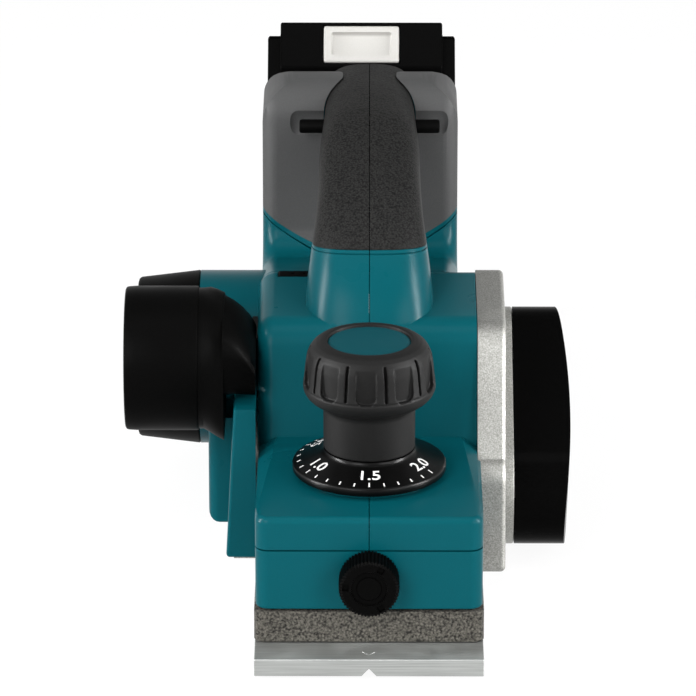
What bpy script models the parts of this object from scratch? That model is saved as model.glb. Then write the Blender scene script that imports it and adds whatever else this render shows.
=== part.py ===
"""Cordless hand-held electric planer.

Metres, +Z up. The origin is the centre of the rear sole, the face that the planer stands on.
The tool planes towards -Y, the drum and motor axes lie along X, and X = 0 is the middle of the cut.
"""
import math

import bmesh
import bpy
from mathutils import Matrix, Vector

for old in list(bpy.data.objects):
    bpy.data.objects.remove(old, do_unlink=True)

parts = bpy.data.collections.new("hand_planer")
cutters = bpy.data.collections.new("hand_planer_cutters")
bpy.context.scene.collection.children.link(parts)
bpy.context.scene.collection.children.link(cutters)

# ---------------------------------------------------------------- fits
fit = 0.0003                    # gap between pieces that touch
running = 0.0015                # gap round the spinning drum
far = 0.4                       # longer than the tool, for cutters that run right through
wall = 0.003                    # moulded casing
skin = 0.0022                   # soft overmould

# ---------------------------------------------------------------- soles and drum
planing_width = 0.082
sole_margin = 0.001             # sole beyond each end of the cut
rear_sole_length = 0.160
front_sole_length = 0.107
mouth = 0.028                   # gap between the soles, under the drum
rear_base_height = 0.0099
shoe_height = 0.0067
cut_set = 0.0015                # depth of cut at rest
cut_most = 0.0020
cutting_radius = 0.027
drum_radius = 0.0245
drum_shaft_radius = 0.005
drum_bearing_radius = 0.013
arch_wall = 0.004
groove_width = 0.006
groove_depth = 0.003

sole_width = planing_width + 2 * sole_margin
rear_sole_front = -rear_sole_length / 2
rear_sole_back = rear_sole_length / 2
drum_y = rear_sole_front - mouth / 2
drum_z = cutting_radius
lip_y = rear_sole_front - mouth - front_sole_length
front_sole_back = lip_y + front_sole_length
shoe_low = cut_set
shoe_top = shoe_low + shoe_height
tunnel_radius = cutting_radius + running
arch_radius = tunnel_radius + arch_wall
frame_low = rear_base_height + fit

# ---------------------------------------------------------------- front block and depth knob
lip_length = 0.015
block_inset = 0.0003            # front block inside the sole's edges
block_length = 0.079
foam_proud = 0.0005             # foam outside the front block
foam_height = 0.0121
foam_slack = 0.0009             # left over the foam, so that the shoe can rise
foam_strip = 0.007
foam_front_strip = 0.012
cover_height = 0.0231
block_seam = 0.0006
top_block_height = 0.0125
knob_setback = 0.0593           # knob axis behind the lip
thread_radius = 0.004
dial_radius = 0.0285
dial_height = 0.0088
dial_rim = 0.0034
neck_radius = 0.017
knob_radius = 0.0245
knob_height = 0.042
knob_pads = 10
cap_radius = 0.01535
cap_height = 0.0026
thumb_radius = 0.01125
thumb_length = 0.0102
thumb_teeth = 20
thumb_shank_radius = 0.003
thumb_shank_length = 0.019
deck_height = 0.006
deck_gap = 0.0085               # from the foot of the front cover up to the deck
pin_radius = 0.004
pin_inset = 0.015               # guide pins from the edges of the sole

block_width = sole_width - 2 * block_inset
foam_width = block_width + 2 * foam_proud
foam_low = shoe_top + fit
cover_low = foam_low + foam_height + foam_slack
cover_top = cover_low + cover_height
top_block_low = cover_top + block_seam
top_block_top = top_block_low + top_block_height
block_front = lip_y + lip_length
block_back = block_front + block_length
knob_y = lip_y + knob_setback
dial_low = top_block_top + fit
dial_top = dial_low + dial_height
knob_low = dial_top + fit
knob_top = knob_low + knob_height
pin_spread = sole_width - 2 * pin_inset
deck_low = cover_low + deck_gap
deck_top = deck_low + deck_height
thumb_z = deck_low + deck_height / 2 + 0.001

# ---------------------------------------------------------------- body, motor and chip outlet
body_margin_left = 0.0013       # body beyond the cut; the tool's right-hand side lies towards -X
body_margin_right = -0.0005
rear_width = 0.0766
battery_middle = -0.0033        # the battery and the rear casing sit off centre
ridge_z = 0.1010
ridge_setback = 0.160
tower_top = 0.1565
tower_crest = 0.020             # flat part of the tower's top, which then falls to the battery
tower_fall = 0.0175
shoulder_radius = 0.016
tower_setback = 0.213
battery_face_setback = 0.268
motor_setback = 0.170
motor_z = 0.0605
motor_can_radius = 0.0336
motor_collar = 0.0227           # how far the motor housing stands out of the body
end_cap_length = 0.0245
cap_end_radius = 0.031
stator_radius = 0.026
stator_length = 0.036
rotor_radius = 0.0127
motor_shaft_radius = 0.004
motor_bearing_radius = 0.011
cap_bearing_radius = 0.008
nozzle_setback = 0.112
nozzle_z = 0.0825
nozzle_radius = 0.0273
nozzle_wall = 0.0022
duct_length = 0.0217
nozzle_length = 0.028

body_left = -planing_width / 2 - body_margin_left
body_right = planing_width / 2 + body_margin_right
rear_left = battery_middle - 0.0004 - rear_width / 2
rear_right = battery_middle - 0.0004 + rear_width / 2
motor_collar_end = body_left - motor_collar
cap_end = motor_collar_end - end_cap_length
nozzle_root = body_left - duct_length
nozzle_end = nozzle_root - nozzle_length
motor_y = lip_y + motor_setback
nozzle_y = lip_y + nozzle_setback
battery_y = lip_y + battery_face_setback
tower_y = lip_y + tower_setback
ridge_y = lip_y + ridge_setback
can_bore = motor_can_radius - wall
stator_left = motor_collar_end + wall
stator_right = stator_left + stator_length

# ---------------------------------------------------------------- belt side
frame_left = body_right + fit
frame_thickness = 0.0107
pulley_gap = 0.0055             # from the frame plate to the pulleys
pulley_width = 0.009
drum_pulley_radius = 0.0145
motor_pulley_radius = 0.0105
belt_thickness = 0.0022
cover_drum_radius = 0.0225
cover_motor_radius = 0.0195
cover_wall = 0.0022
flange_height = 0.0036
belt_cover_depth = 0.0216
belt_cover_slope = 0.005        # the cover is thinner towards the motor

frame_right = frame_left + frame_thickness
flange_right = frame_right + flange_height
pulley_left = frame_right + pulley_gap
belt_cover_left = flange_right + fit
belt_cover_end = belt_cover_left + belt_cover_depth
belt_cover_high_end = belt_cover_end - belt_cover_slope

# ---------------------------------------------------------------- battery and controls
battery_width = 0.075
battery_depth = 0.0647
battery_length = 0.1155
battery_top = 0.160
battery_slope = 0.0140          # bevel along the top front edge, which holds the button
battery_fall = 24               # degrees that the top falls towards the back
battery_wall = 0.0025
button_width = 0.0302
button_length = 0.0162
button_height = 0.006
button_travel = 0.003
rail_width = 0.062
rail_depth = 0.006
rail_lip = 0.003
rail_length = 0.086
rail_rise = 0.004               # from the foot of the battery up to the rails
trigger_width = 0.018
trigger_length = 0.027
trigger_setback = 0.1745
trigger_z = 0.1330
lock_bar_radius = 0.0027
lock_bar_length = 0.0547
lock_bar_setback = 0.2065
lock_bar_z = 0.1425
trigger_pivot_radius = 0.002

battery_front = battery_y + fit
battery_back = battery_front + battery_depth
battery_low = battery_top - battery_length
battery_left = battery_middle - battery_width / 2
battery_right = battery_middle + battery_width / 2


# ================================================================ materials
def finish(name, color, roughness, metallic=0.0):
    """Principled material of one colour"""
    made = bpy.data.materials.new(name)
    made.use_nodes = True
    shader = made.node_tree.nodes["Principled BSDF"]
    shader.inputs["Base Color"].default_value = (*color, 1.0)
    shader.inputs["Roughness"].default_value = roughness
    shader.inputs["Metallic"].default_value = metallic
    made.diffuse_color = (*color, 1.0)
    return made


teal = finish("teal_plastic", (0.006, 0.13, 0.16), 0.45)
black = finish("black_plastic", (0.008, 0.008, 0.008), 0.4)
grip_rubber = finish("grip_rubber", (0.022, 0.022, 0.022), 0.8)
grey_rubber = finish("grey_elastomer", (0.045, 0.046, 0.047), 0.6)
foam = finish("foam", (0.10, 0.095, 0.08), 0.95)
cast = finish("cast_aluminium", (0.55, 0.55, 0.53), 0.45, 1.0)
milled = finish("milled_aluminium", (0.60, 0.62, 0.61), 0.3, 1.0)
steel = finish("steel", (0.50, 0.50, 0.50), 0.25, 1.0)
copper = finish("copper", (0.72, 0.38, 0.22), 0.35, 1.0)
rubber = finish("belt_rubber", (0.015, 0.015, 0.015), 0.7)
white = finish("button_white", (0.76, 0.75, 0.71), 0.4)
cell = finish("cell_wrap", (0.10, 0.22, 0.10), 0.5)


# ================================================================ making and cutting
def adopt(made, material=None):
    """put a piece with the parts, or a shape without a material with the cutters"""
    for group in list(made.users_collection):
        group.objects.unlink(made)
    if material is None:
        cutters.objects.link(made)
        made.hide_render = True
        made.display_type = "WIRE"
    else:
        parts.objects.link(made)
        made.data.materials.clear()
        made.data.materials.append(material)
    return made


def from_bmesh(name, shape, material):
    """object from a bmesh, smooth where its faces nearly line up"""
    bmesh.ops.recalc_face_normals(shape, faces=shape.faces)
    mesh = bpy.data.meshes.new(name)
    shape.to_mesh(mesh)
    shape.free()
    mesh.shade_smooth()
    mesh.set_sharp_from_angle(angle=math.radians(35))
    return adopt(bpy.data.objects.new(name, mesh), material)


def block(name, low, high, material=None, round_by=0.0, steps=3, edges=None):
    """box between two corners; edges picks those to round"""
    middle = [(a + b) / 2 for a, b in zip(low, high)]
    size = [b - a for a, b in zip(low, high)]
    shape = bmesh.new()
    place = Matrix.Translation(middle) @ Matrix.Diagonal((*size, 1.0))
    bmesh.ops.create_cube(shape, size=1.0, matrix=place)
    if round_by:
        chosen = [e for e in shape.edges if edges is None or edges(e)]
        bmesh.ops.bevel(shape, geom=chosen, offset=round_by, segments=steps, affect="EDGES", profile=0.5)
    return from_bmesh(name, shape, material)


def rod(name, start, end, radius, material=None, end_radius=None, sides=20):
    """cylinder or cone from start to end"""
    start = Vector(start)
    end = Vector(end)
    along = end - start
    turn = along.to_track_quat("Z", "Y").to_matrix().to_4x4()
    shape = bmesh.new()
    bmesh.ops.create_cone(shape, cap_ends=True, segments=sides, radius1=radius,
                          radius2=radius if end_radius is None else end_radius, depth=along.length,
                          matrix=Matrix.Translation((start + end) / 2) @ turn)
    return from_bmesh(name, shape, material)


def rod_x(name, y, z, x_low, x_high, radius, material=None, end_radius=None, sides=20):
    """cylinder along X, from x_low to x_high"""
    return rod(name, (x_low, y, z), (x_high, y, z), radius, material, end_radius, sides)


def turned(name, profile, foot, material=None, sides=40):
    """(radius, height) profile, outer side from top to bottom, turned round a vertical axis"""
    shape = bmesh.new()
    points = [shape.verts.new((r, 0.0, h)) for r, h in profile]
    for a, b in zip(points, points[1:]):
        shape.edges.new((a, b))
    mesh = bpy.data.meshes.new(name)
    shape.to_mesh(mesh)
    shape.free()
    made = adopt(bpy.data.objects.new(name, mesh), material)
    made.location = foot
    screw = made.modifiers.new("turn", "SCREW")
    screw.steps = sides
    screw.render_steps = sides
    screw.use_merge_vertices = True
    screw.merge_threshold = 0.00002
    return made


def arc_corner(before, corner, after, radius, steps):
    """points of a rounded corner between two straight sides"""
    corner = Vector(corner)
    back = (Vector(before) - corner).normalized()
    ahead = (Vector(after) - corner).normalized()
    half = back.angle(ahead) / 2
    if radius < 0.0001 or half > math.radians(88):
        return [tuple(corner)]
    middle = corner + (back + ahead).normalized() * radius / math.sin(half)
    first = corner + back * radius / math.tan(half) - middle
    sweep = first.angle_signed(corner + ahead * radius / math.tan(half) - middle)
    made = []
    for i in range(steps + 1):
        turn = Matrix.Rotation(-sweep * i / steps, 2)
        made.append(tuple(middle + turn @ first))
    return made


def rounded(corners, steps=4):
    """outline from (y, z, radius) corners"""
    made = []
    for i, (y, z, radius) in enumerate(corners):
        before = corners[i - 1][:2]
        after = corners[(i + 1) % len(corners)][:2]
        made += arc_corner(before, (y, z), after, radius, steps)
    return made


def inset(corners, by):
    """the same corners, each side moved inwards; corners run clockwise seen from +X"""
    made = []
    for i, (y, z, radius) in enumerate(corners):
        here = Vector((y, z))
        back = (here - Vector(corners[i - 1][:2])).normalized()
        ahead = (Vector(corners[(i + 1) % len(corners)][:2]) - here).normalized()
        inner = Vector((back.y, -back.x)) + Vector((ahead.y, -ahead.x))
        shift = inner * by / (1 + back.dot(ahead))
        outward_corner = back.x * ahead.y - back.y * ahead.x < 0
        new_radius = max(radius - by, 0.0) if outward_corner else radius + by
        made.append((y + shift.x, z + shift.y, new_radius if radius else 0.0))
    return made


def slab(name, outline, x_low, x_high, material=None, round_by=0.0, steps=3, above=-1.0):
    """flat (y, z) outline with a thickness along X; its rims above a height are rounded"""
    curve = bpy.data.curves.new(name, "CURVE")
    curve.dimensions = "2D"
    curve.fill_mode = "BOTH"
    curve.extrude = (x_high - x_low) / 2
    line = curve.splines.new("POLY")
    line.points.add(len(outline) - 1)
    line.use_cyclic_u = True
    for point, (y, z) in zip(line.points, outline):
        point.co = (y, z, 0.0, 1.0)
    flat = bpy.data.objects.new(name, curve)
    bpy.context.scene.collection.objects.link(flat)
    bpy.context.view_layer.update()
    mesh = bpy.data.meshes.new_from_object(flat.evaluated_get(bpy.context.evaluated_depsgraph_get()))
    bpy.data.objects.remove(flat, do_unlink=True)
    shape = bmesh.new()
    shape.from_mesh(mesh)
    bpy.data.meshes.remove(mesh)
    bmesh.ops.remove_doubles(shape, verts=shape.verts, dist=0.00001)
    axes = Matrix(((0, 0, 1, (x_low + x_high) / 2), (1, 0, 0, 0), (0, 1, 0, 0), (0, 0, 0, 1)))
    bmesh.ops.transform(shape, matrix=axes, verts=shape.verts)
    bmesh.ops.dissolve_limit(shape, angle_limit=0.001, verts=shape.verts, edges=shape.edges)
    if round_by:
        rims = []
        for edge in shape.edges:
            across = abs(edge.verts[0].co.x - edge.verts[1].co.x)
            if across < 0.0001 and min(v.co.z for v in edge.verts) > above:
                rims.append(edge)
        bmesh.ops.bevel(shape, geom=rims, offset=round_by, segments=steps, affect="EDGES", profile=0.5,
                        clamp_overlap=True)
    return from_bmesh(name, shape, material)


def loft(name, rings, material=None):
    """closed skin over rings that have the same number of points"""
    shape = bmesh.new()
    loops = [[shape.verts.new(p) for p in ring] for ring in rings]
    count = len(loops[0])
    for a, b in zip(loops, loops[1:]):
        for i in range(count):
            j = (i + 1) % count
            shape.faces.new((a[i], a[j], b[j], b[i]))
    shape.faces.new(list(reversed(loops[0])))
    shape.faces.new(loops[-1])
    return from_bmesh(name, shape, material)


def combine(target, operation, *tools):
    """live Boolean of the target with each tool, which stays with the cutters"""
    for tool in tools:
        step = target.modifiers.new(operation.lower(), "BOOLEAN")
        step.operation = operation
        step.object = tool
        step.solver = "EXACT"
        if tool.name not in cutters.objects:
            adopt(tool)
    return target


def cut(target, *tools):
    return combine(target, "DIFFERENCE", *tools)


def join(target, *tools):
    return combine(target, "UNION", *tools)


def common(target, *tools):
    return combine(target, "INTERSECT", *tools)


def ring_x(name, y, z, x_low, x_high, radius, bore, material, sides=20):
    """washer or bearing round an axis along X"""
    made = rod_x(name, y, z, x_low, x_high, radius, material, sides=sides)
    return cut(made, rod_x(name + "_bore", y, z, x_low - wall, x_high + wall, bore, sides=sides))


# ================================================================ soles, frame and front block
def drum_tunnel(name, x_low, x_high, radius, low=-wall):
    """round-topped passage that the drum, or the arch over it, takes through its neighbours"""
    made = rod_x(name, drum_y, drum_z, x_low, x_high, radius, sides=28)
    leg = block(name + "_legs", (x_low, drum_y - radius * 0.995, low),
                (x_high, drum_y + radius * 0.995, drum_z))
    return join(made, leg)


def make_front_base():
    base = block("front_base", (-sole_width / 2, lip_y, shoe_low),
                 (sole_width / 2, front_sole_back, shoe_top), milled)
    boss_top = deck_low - 0.0025
    screw_boss = rod("front_base_screw_boss", (0, knob_y, shoe_top - 0.001), (0, knob_y, boss_top),
                     thread_radius + 0.005)
    join(base, screw_boss)
    pin_foot = shoe_low + 0.0035
    for side in (-1, 1):
        x = side * pin_spread / 2
        boss = rod(f"front_base_pin_boss_{side}", (x, knob_y, shoe_top - 0.001),
                   (x, knob_y, shoe_top + 0.010),
                   pin_radius + wall)
        join(base, boss)
    cut(base, rod("front_base_thread", (0, knob_y, shoe_low + groove_depth + 0.0015),
                  (0, knob_y, boss_top + wall),
                  thread_radius + fit))
    for side in (-1, 1):
        x = side * pin_spread / 2
        cut(base, rod(f"front_base_pin_bore_{side}", (x, knob_y, pin_foot), (x, knob_y, boss_top),
                      pin_radius + fit))
    groove = [[(-groove_width / 2, y, shoe_low - fit), (groove_width / 2, y, shoe_low - fit),
               (0.0, y, shoe_low + groove_depth)] for y in (lip_y - wall, drum_y)]
    cut(base, loft("front_base_groove", groove))
    cut(base, rod_x("front_base_mouth", drum_y, drum_z, -far, far, tunnel_radius, sides=40))
    for side, name in ((-1, "right"), (1, "left")):
        x = side * pin_spread / 2
        rod(f"guide_pin_{name}", (x, knob_y, pin_foot + fit), (x, knob_y, deck_top + 0.007), pin_radius,
            steel,
            sides=24)


def make_foam():
    seal = block("foam_seal", (-foam_width / 2, block_front, foam_low),
                 (foam_width / 2, block_back - wall, foam_low + foam_height), foam, 0.003, 2,
                 lambda e: abs(e.verts[0].co.z - e.verts[1].co.z) > 0.005 and e.verts[0].co.y < block_front + 0.001)
    inner = foam_width / 2 - foam_strip
    cut(seal, block("foam_opening", (-inner, block_front + foam_front_strip, foam_low - wall),
                    (inner, block_back + wall, foam_low + foam_height + wall)))
    cut(seal, drum_tunnel("foam_arch_room", left_plate_end - fit, frame_right, arch_radius + 2 * fit, -far))
    cut(seal, block("foam_frame_side", (frame_left - fit, block_back - 0.0145, foam_low - wall),
                    (far, block_back + wall, cover_low + wall)))


def make_rear_base():
    base = block("rear_base", (-sole_width / 2, rear_sole_front, 0),
                 (sole_width / 2, rear_sole_back, rear_base_height),
                 milled)
    rim = 0.005
    rows = 3
    pitch = (rear_sole_length - 0.030) / rows
    for row in range(rows):
        for side in (-1, 1):
            inner = side * rim / 2
            outer = side * (sole_width / 2 - rim - 0.004)
            low = rear_sole_front + 0.030 - rim + row * pitch + rim
            cut(base, block(f"rear_base_pocket_{row}_{side}", (min(inner, outer), low, 0.0035),
                            (max(inner, outer), low + pitch - rim, rear_base_height + wall), None, 0.002, 2,
                            lambda e: abs(e.verts[0].co.z - e.verts[1].co.z) > 0.004))
    cut(base, rod_x("rear_base_mouth", drum_y, drum_z, -far, far, tunnel_radius, sides=40))


def obround(radius_drum, radius_motor, steps=12):
    """outline round the drum and motor axes, the shape of the belt guard"""
    a = Vector((drum_y, drum_z))
    b = Vector((motor_y, motor_z))
    along = b - a
    heading = math.atan2(along.y, along.x)
    lean = math.acos((radius_drum - radius_motor) / along.length)
    made = []
    for i in range(steps + 1):
        turn = heading + lean + (2 * math.pi - 2 * lean) * i / steps
        made.append((a.x + radius_drum * math.cos(turn), a.y + radius_drum * math.sin(turn)))
    for i in range(steps + 1):
        turn = heading - lean + 2 * lean * i / steps
        made.append((b.x + radius_motor * math.cos(turn), b.y + radius_motor * math.sin(turn)))
    return made


plate_front = block_back - 0.014
frame_outline = [
    (plate_front, 0.0075, 0.003),
    (plate_front, 0.0495, 0.002),
    (plate_front + 0.0065, 0.0520, 0.002),
    (plate_front + 0.026, ridge_z - 0.004, 0.012),
    (ridge_y + 0.004, ridge_z - 0.0015, 0.010),
    (motor_y + 0.026, motor_z + 0.012, 0.012),
    (motor_y + 0.020, motor_z - 0.020, 0.012),
    (drum_y + 0.040, 0.0075, 0.006),
]
left_plate_end = -planing_width / 2 - 0.0102
side_cover_left = left_plate_end - fit - 0.0025


def make_frame():
    frame = slab("drum_frame", rounded(frame_outline), frame_left, frame_right, cast, 0.0015, 2)
    arch = drum_tunnel("frame_arch", left_plate_end, frame_left + 0.002, arch_radius, frame_low)
    cut(arch, block("frame_arch_ground", (-far, -far, -far), (far, far, frame_low)))
    deck = block("frame_deck", (-block_width / 2 + wall + fit, block_front + 0.005, deck_low),
                 (block_width / 2 - wall - fit, drum_y - drum_radius, deck_top))
    flange = slab("frame_flange", obround(cover_drum_radius, cover_motor_radius), frame_right - 0.001,
                  flange_right)
    join(frame, arch, deck, flange)
    recess = slab("frame_belt_room",
                  obround(cover_drum_radius - cover_wall, cover_motor_radius - cover_wall),
                  frame_right, flange_right + wall)
    cut(frame, recess)
    cut(frame, drum_tunnel("frame_tunnel", body_left, planing_width / 2 + 0.0004, tunnel_radius))
    cut(frame, block("frame_sole_room", (-far, lip_y, -wall),
                     (sole_width / 2 + 2 * fit, rear_sole_back, frame_low)))
    chip_slot = block("frame_chip_slot", (-0.034, drum_y - 0.018, drum_z + 0.012),
                      (0.034, drum_y + 0.012, drum_z + 0.05))
    cut(frame, chip_slot)
    left_room = rod_x("frame_left_bearing_room", drum_y, drum_z, left_plate_end + 0.0015,
                      -planing_width / 2,
                      motor_bearing_radius + fit)
    right_room = rod_x("frame_right_bearing_room", drum_y, drum_z, planing_width / 2, frame_right - 0.0015,
                       drum_bearing_radius + fit)
    motor_room = rod_x("frame_motor_bearing_room", motor_y, motor_z, frame_left - wall,
                       frame_right - 0.0025,
                       motor_bearing_radius + fit)
    drum_hole = rod_x("frame_drum_shaft_hole", drum_y, drum_z, 0, far, drum_shaft_radius + 0.0015)
    motor_hole = rod_x("frame_motor_shaft_hole", motor_y, motor_z, 0, far, motor_shaft_radius + 0.0015)
    cut(frame, left_room, right_room, motor_room, drum_hole, motor_hole)
    cut(frame, rod("frame_screw_hole", (0, knob_y, 0), (0, knob_y, cover_top), thread_radius + fit))
    for side in (-1, 1):
        x = side * pin_spread / 2
        cut(frame, rod(f"frame_pin_hole_{side}", (x, knob_y, 0), (x, knob_y, cover_top), pin_radius + fit,
                       sides=24))
    cut(frame, rod("frame_thumb_hole", (0, lip_y, thumb_z), (0, block_front + 0.0205, thumb_z),
                   thumb_shank_radius + fit, sides=20))
    for i, (y, z) in enumerate(belt_cover_screws):
        cut(frame, rod_x(f"frame_cover_screw_hole_{i}", y, z, frame_right - 0.005, far, 0.002 + fit,
                         sides=16))


between = Vector((motor_y - drum_y, motor_z - drum_z))
middle = Vector((drum_y, drum_z)) + between * 0.47
belt_cover_screws = [tuple(middle + between.normalized() * s) for s in (-0.0075, 0.0075)]


def upright_front(e):
    return abs(e.verts[0].co.z - e.verts[1].co.z) > 0.005 and e.verts[0].co.y < block_front + 0.001


def make_front_cover():
    half = block_width / 2
    cover = block("front_cover", (-half, block_front, cover_low), (half, block_back, cover_top), teal,
                  0.005, 4,
                  upright_front)
    cut(cover, block("front_cover_room", (-half + wall, block_front + wall, cover_low - wall),
                     (half - wall, block_back + wall, cover_top + wall)))
    cut(cover, rod("front_cover_thumb_hole", (0, lip_y, thumb_z), (0, knob_y, thumb_z),
                   thumb_shank_radius + fit,
                   sides=20))
    cut(cover, drum_tunnel("front_cover_arch_room", left_plate_end - fit, frame_right, arch_radius + fit,
                           -far))
    cut(cover, block("front_cover_frame_room", (frame_left - fit, plate_front - fit, 0),
                     (far, block_back + wall, cover_top + wall)))


def make_thumb_screw():
    ring = []
    tip = thumb_radius - 0.0008
    for i in range(thumb_teeth * 2):
        turn = math.pi * i / thumb_teeth
        radius = thumb_radius if i % 2 else tip
        ring.append((radius * math.cos(turn), radius * math.sin(turn)))
    face = block_front - fit - thumb_length
    seat = block_front - fit
    rings = [[(x * k, y, thumb_z + z * k) for x, z in ring]
             for y, k in ((face, 0.88), (face + 0.0012, 1.0), (seat - 0.0010, 1.0), (seat, 0.9))]
    head = loft("thumb_screw", rings, black)
    join(head, rod("thumb_screw_shank", (0, seat - 0.002, thumb_z), (0, seat + thumb_shank_length, thumb_z),
                   thumb_shank_radius, sides=20))
    cut(head, rod("thumb_screw_dish", (0, face - wall, thumb_z), (0, face + 0.0012, thumb_z), 0.0073))


def make_knob():
    dial_foot = (0, knob_y, dial_low)
    bore = thread_radius + fit
    profile = [(bore, dial_height), (neck_radius, dial_height), (neck_radius + 0.0015, dial_height - 0.002),
               (dial_radius - 0.0012, dial_rim), (dial_radius, dial_rim - 0.0006), (dial_radius, 0.0008),
               (dial_radius - 0.0008, 0.0), (bore, 0.0), (bore, dial_height)]
    turned("depth_dial", profile, dial_foot, black, 32)
    shoulder = knob_height - 0.0185
    recess = cap_height - 0.001
    profile = [(0.0, knob_height - recess), (cap_radius + fit, knob_height - recess),
               (cap_radius + fit, knob_height),
               (cap_radius + 0.002, knob_height), (knob_radius - 0.003, knob_height - 0.005),
               (knob_radius - 0.0003, shoulder + 0.005), (knob_radius, shoulder),
               (knob_radius - 0.002, shoulder - 0.004),
               (neck_radius, shoulder - 0.0095), (neck_radius, 0.0), (0.0, 0.0)]
    grip = turned("knob_grip", profile, (0, knob_y, knob_low), black, 32)
    for i in range(knob_pads):
        turn = 2 * math.pi * (i + 0.5) / knob_pads - math.pi / 2
        reach = knob_radius + 0.0008
        x = reach * math.cos(turn)
        y = knob_y + reach * math.sin(turn)
        cut(grip, rod(f"knob_scallop_{i}", (x, y, knob_low + shoulder),
                      (x * 0.87, knob_y + (y - knob_y) * 0.87, knob_top + 0.004),
                      0.0014, sides=10))
    cut(grip, rod("knob_bore", (0, knob_y, knob_low - wall), (0, knob_y, knob_low + 0.030), bore))
    profile = [(0.0, cap_height), (cap_radius * 0.6, cap_height - 0.0002),
               (cap_radius - 0.0008, cap_height - 0.0007),
               (cap_radius, cap_height - 0.0014), (cap_radius, 0.0), (0.0, 0.0)]
    turned("knob_cap", profile, (0, knob_y, knob_top - recess + fit), teal)
    screw_low = shoe_low + groove_depth + 0.0015 + cut_most
    rod("depth_screw", (0, knob_y, screw_low), (0, knob_y, knob_low + 0.030 - fit), thread_radius, steel)


# ================================================================ casing
# side outlines as (y, z, corner radius), clockwise seen from +X
body_outline = [
    (ridge_y + 0.006, frame_low, 0.0),
    (block_back, frame_low, 0.0),
    (block_back, top_block_top, 0.004),
    (block_back + 0.0125, ridge_z - 0.0025, 0.011),
    (ridge_y, ridge_z, 0.011),
    (ridge_y + 0.006, ridge_z - 0.013, 0.008),
]
rear_outline = [
    (rear_sole_back - 0.003, frame_low, 0.0),
    (ridge_y - 0.025, frame_low, 0.0),
    (ridge_y - 0.025, ridge_z - 0.004, 0.0),
    (ridge_y + 0.005, ridge_z - 0.003, 0.010),
    (tower_y - 0.003, 0.0880, 0.010),
    (tower_y, tower_top, 0.014),
    (tower_y + tower_crest, tower_top, 0.016),
    (battery_y, tower_top - tower_fall, 0.009),
    (battery_y, battery_low - 0.004, 0.0),
    (rear_sole_back - 0.003, battery_low - 0.004, 0.009),
]
# handle: front or top edge (y, z), back or under edge (y, z), width; y is measured from the lip
handle_stations = [
    ((0.099, 0.0780), (0.150, 0.0840), 0.0520),
    ((0.104, 0.0900), (0.153, 0.0990), 0.0495),
    ((0.112, 0.1065), (0.1555, 0.1075), 0.0468),
    ((0.124, 0.1215), (0.1600, 0.1150), 0.0435),
    ((0.134, 0.1300), (0.1640, 0.1185), 0.0413),
    ((0.145, 0.1375), (0.1690, 0.1215), 0.0398),
    ((0.159, 0.1445), (0.1765, 0.1245), 0.0389),
    ((0.175, 0.1505), (0.1860, 0.1270), 0.0386),
    ((0.190, 0.1542), (0.1960, 0.1283), 0.0370),
    ((0.208, 0.1560), (0.2080, 0.1290), 0.0352),
    ((0.236, 0.1550), (0.2360, 0.1290), 0.0350),
]
seam_station = 3                # the soft grip starts here
face_station = 9                # and ends here, just before the tower


def handle_ring(station, smaller, ahead=0.0, points=20, squareness=3.0):
    """rounded-square section of the handle at one station"""
    outer, inner, width = station
    a = Vector((0, lip_y + outer[0], outer[1]))
    b = Vector((0, lip_y + inner[0], inner[1]))
    depth = (a - b).length / 2 - smaller
    up = (a - b).normalized()
    forward = Vector((0, -up.z, up.y)) if up.z < 0 else Vector((0, up.z, -up.y))
    centre = (a + b) / 2 + forward * ahead
    half = width / 2 - smaller
    made = []
    for i in range(points):
        turn = 2 * math.pi * (i + 0.5) / points
        c = math.cos(turn)
        s = math.sin(turn)
        x = math.copysign(abs(c) ** (2 / squareness), c) * half
        d = math.copysign(abs(s) ** (2 / squareness), s) * depth
        made.append(centre + up * d + Vector((x, 0, 0)))
    return made


def handle_form(name, smaller, first=0, last=None, ahead=0.0):
    """the handle between two stations, its surface moved in by smaller"""
    chosen = handle_stations[first:last]
    rings = [handle_ring(s, smaller) for s in chosen]
    if ahead:
        rings[0] = handle_ring(chosen[0], smaller, ahead)
    return loft(name, rings)


def half_space(name, side, material):
    """everything on one side of the casing seam at X = 0"""
    low = fit / 2 if side > 0 else -far
    high = far if side > 0 else -fit / 2
    return block(name, (low, -far, -far), (high, far, far), material)


screw_places = [
    (block_front + 0.014, top_block_low + 0.0045),
    (block_back + 0.037, ridge_z + 0.0075),
    (tower_y + 0.006, ridge_z - 0.027),
    (battery_y - 0.018, tower_top - 0.0265),
]
screw_shank = 0.0015
screw_head = 0.003
bulge_left = body_left - 0.0191
bulge_front = nozzle_y + 0.005
bulge_back = motor_y + 0.030
bulge_low = 0.013
bulge_top = 0.056
duct_front = nozzle_y - 0.024
duct_back = nozzle_y + 0.021
duct_low = nozzle_z - 0.008
duct_top = nozzle_z + 0.0215
neck_low = duct_low + 0.003
channel_low = drum_z + arch_radius + 0.002
channel_top = ridge_z - 0.0095
channel_back = nozzle_y + 0.024
band_low = ridge_z + 0.0012               # the soft rear band covers the tower from here up
band_front = tower_y - 0.012
trigger_y = lip_y + trigger_setback
switch_low = trigger_z + 0.004
switch_high = switch_low + 0.008
switch_front = trigger_y + 0.0005
switch_back = switch_front + 0.025
switch_half = 0.0105
controller_low = frame_low + wall + fit
controller_top = controller_low + 0.020
controller_front = motor_y + 0.040
controller_back = battery_y - 0.008
terminal_low = battery_low + 0.012
terminal_high = battery_low + 0.047
terminal_half = 0.0175
panel_left = -0.035
panel_right = -0.015
panel_front = ridge_y - 0.0085
panel_back = ridge_y - 0.0025


def front_wall_y(z):
    """front face of the casing behind the knob, at a height"""
    rise = (z - top_block_top) / (body_outline[3][1] - top_block_top)
    return block_back + rise * (body_outline[3][0] - block_back)


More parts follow.
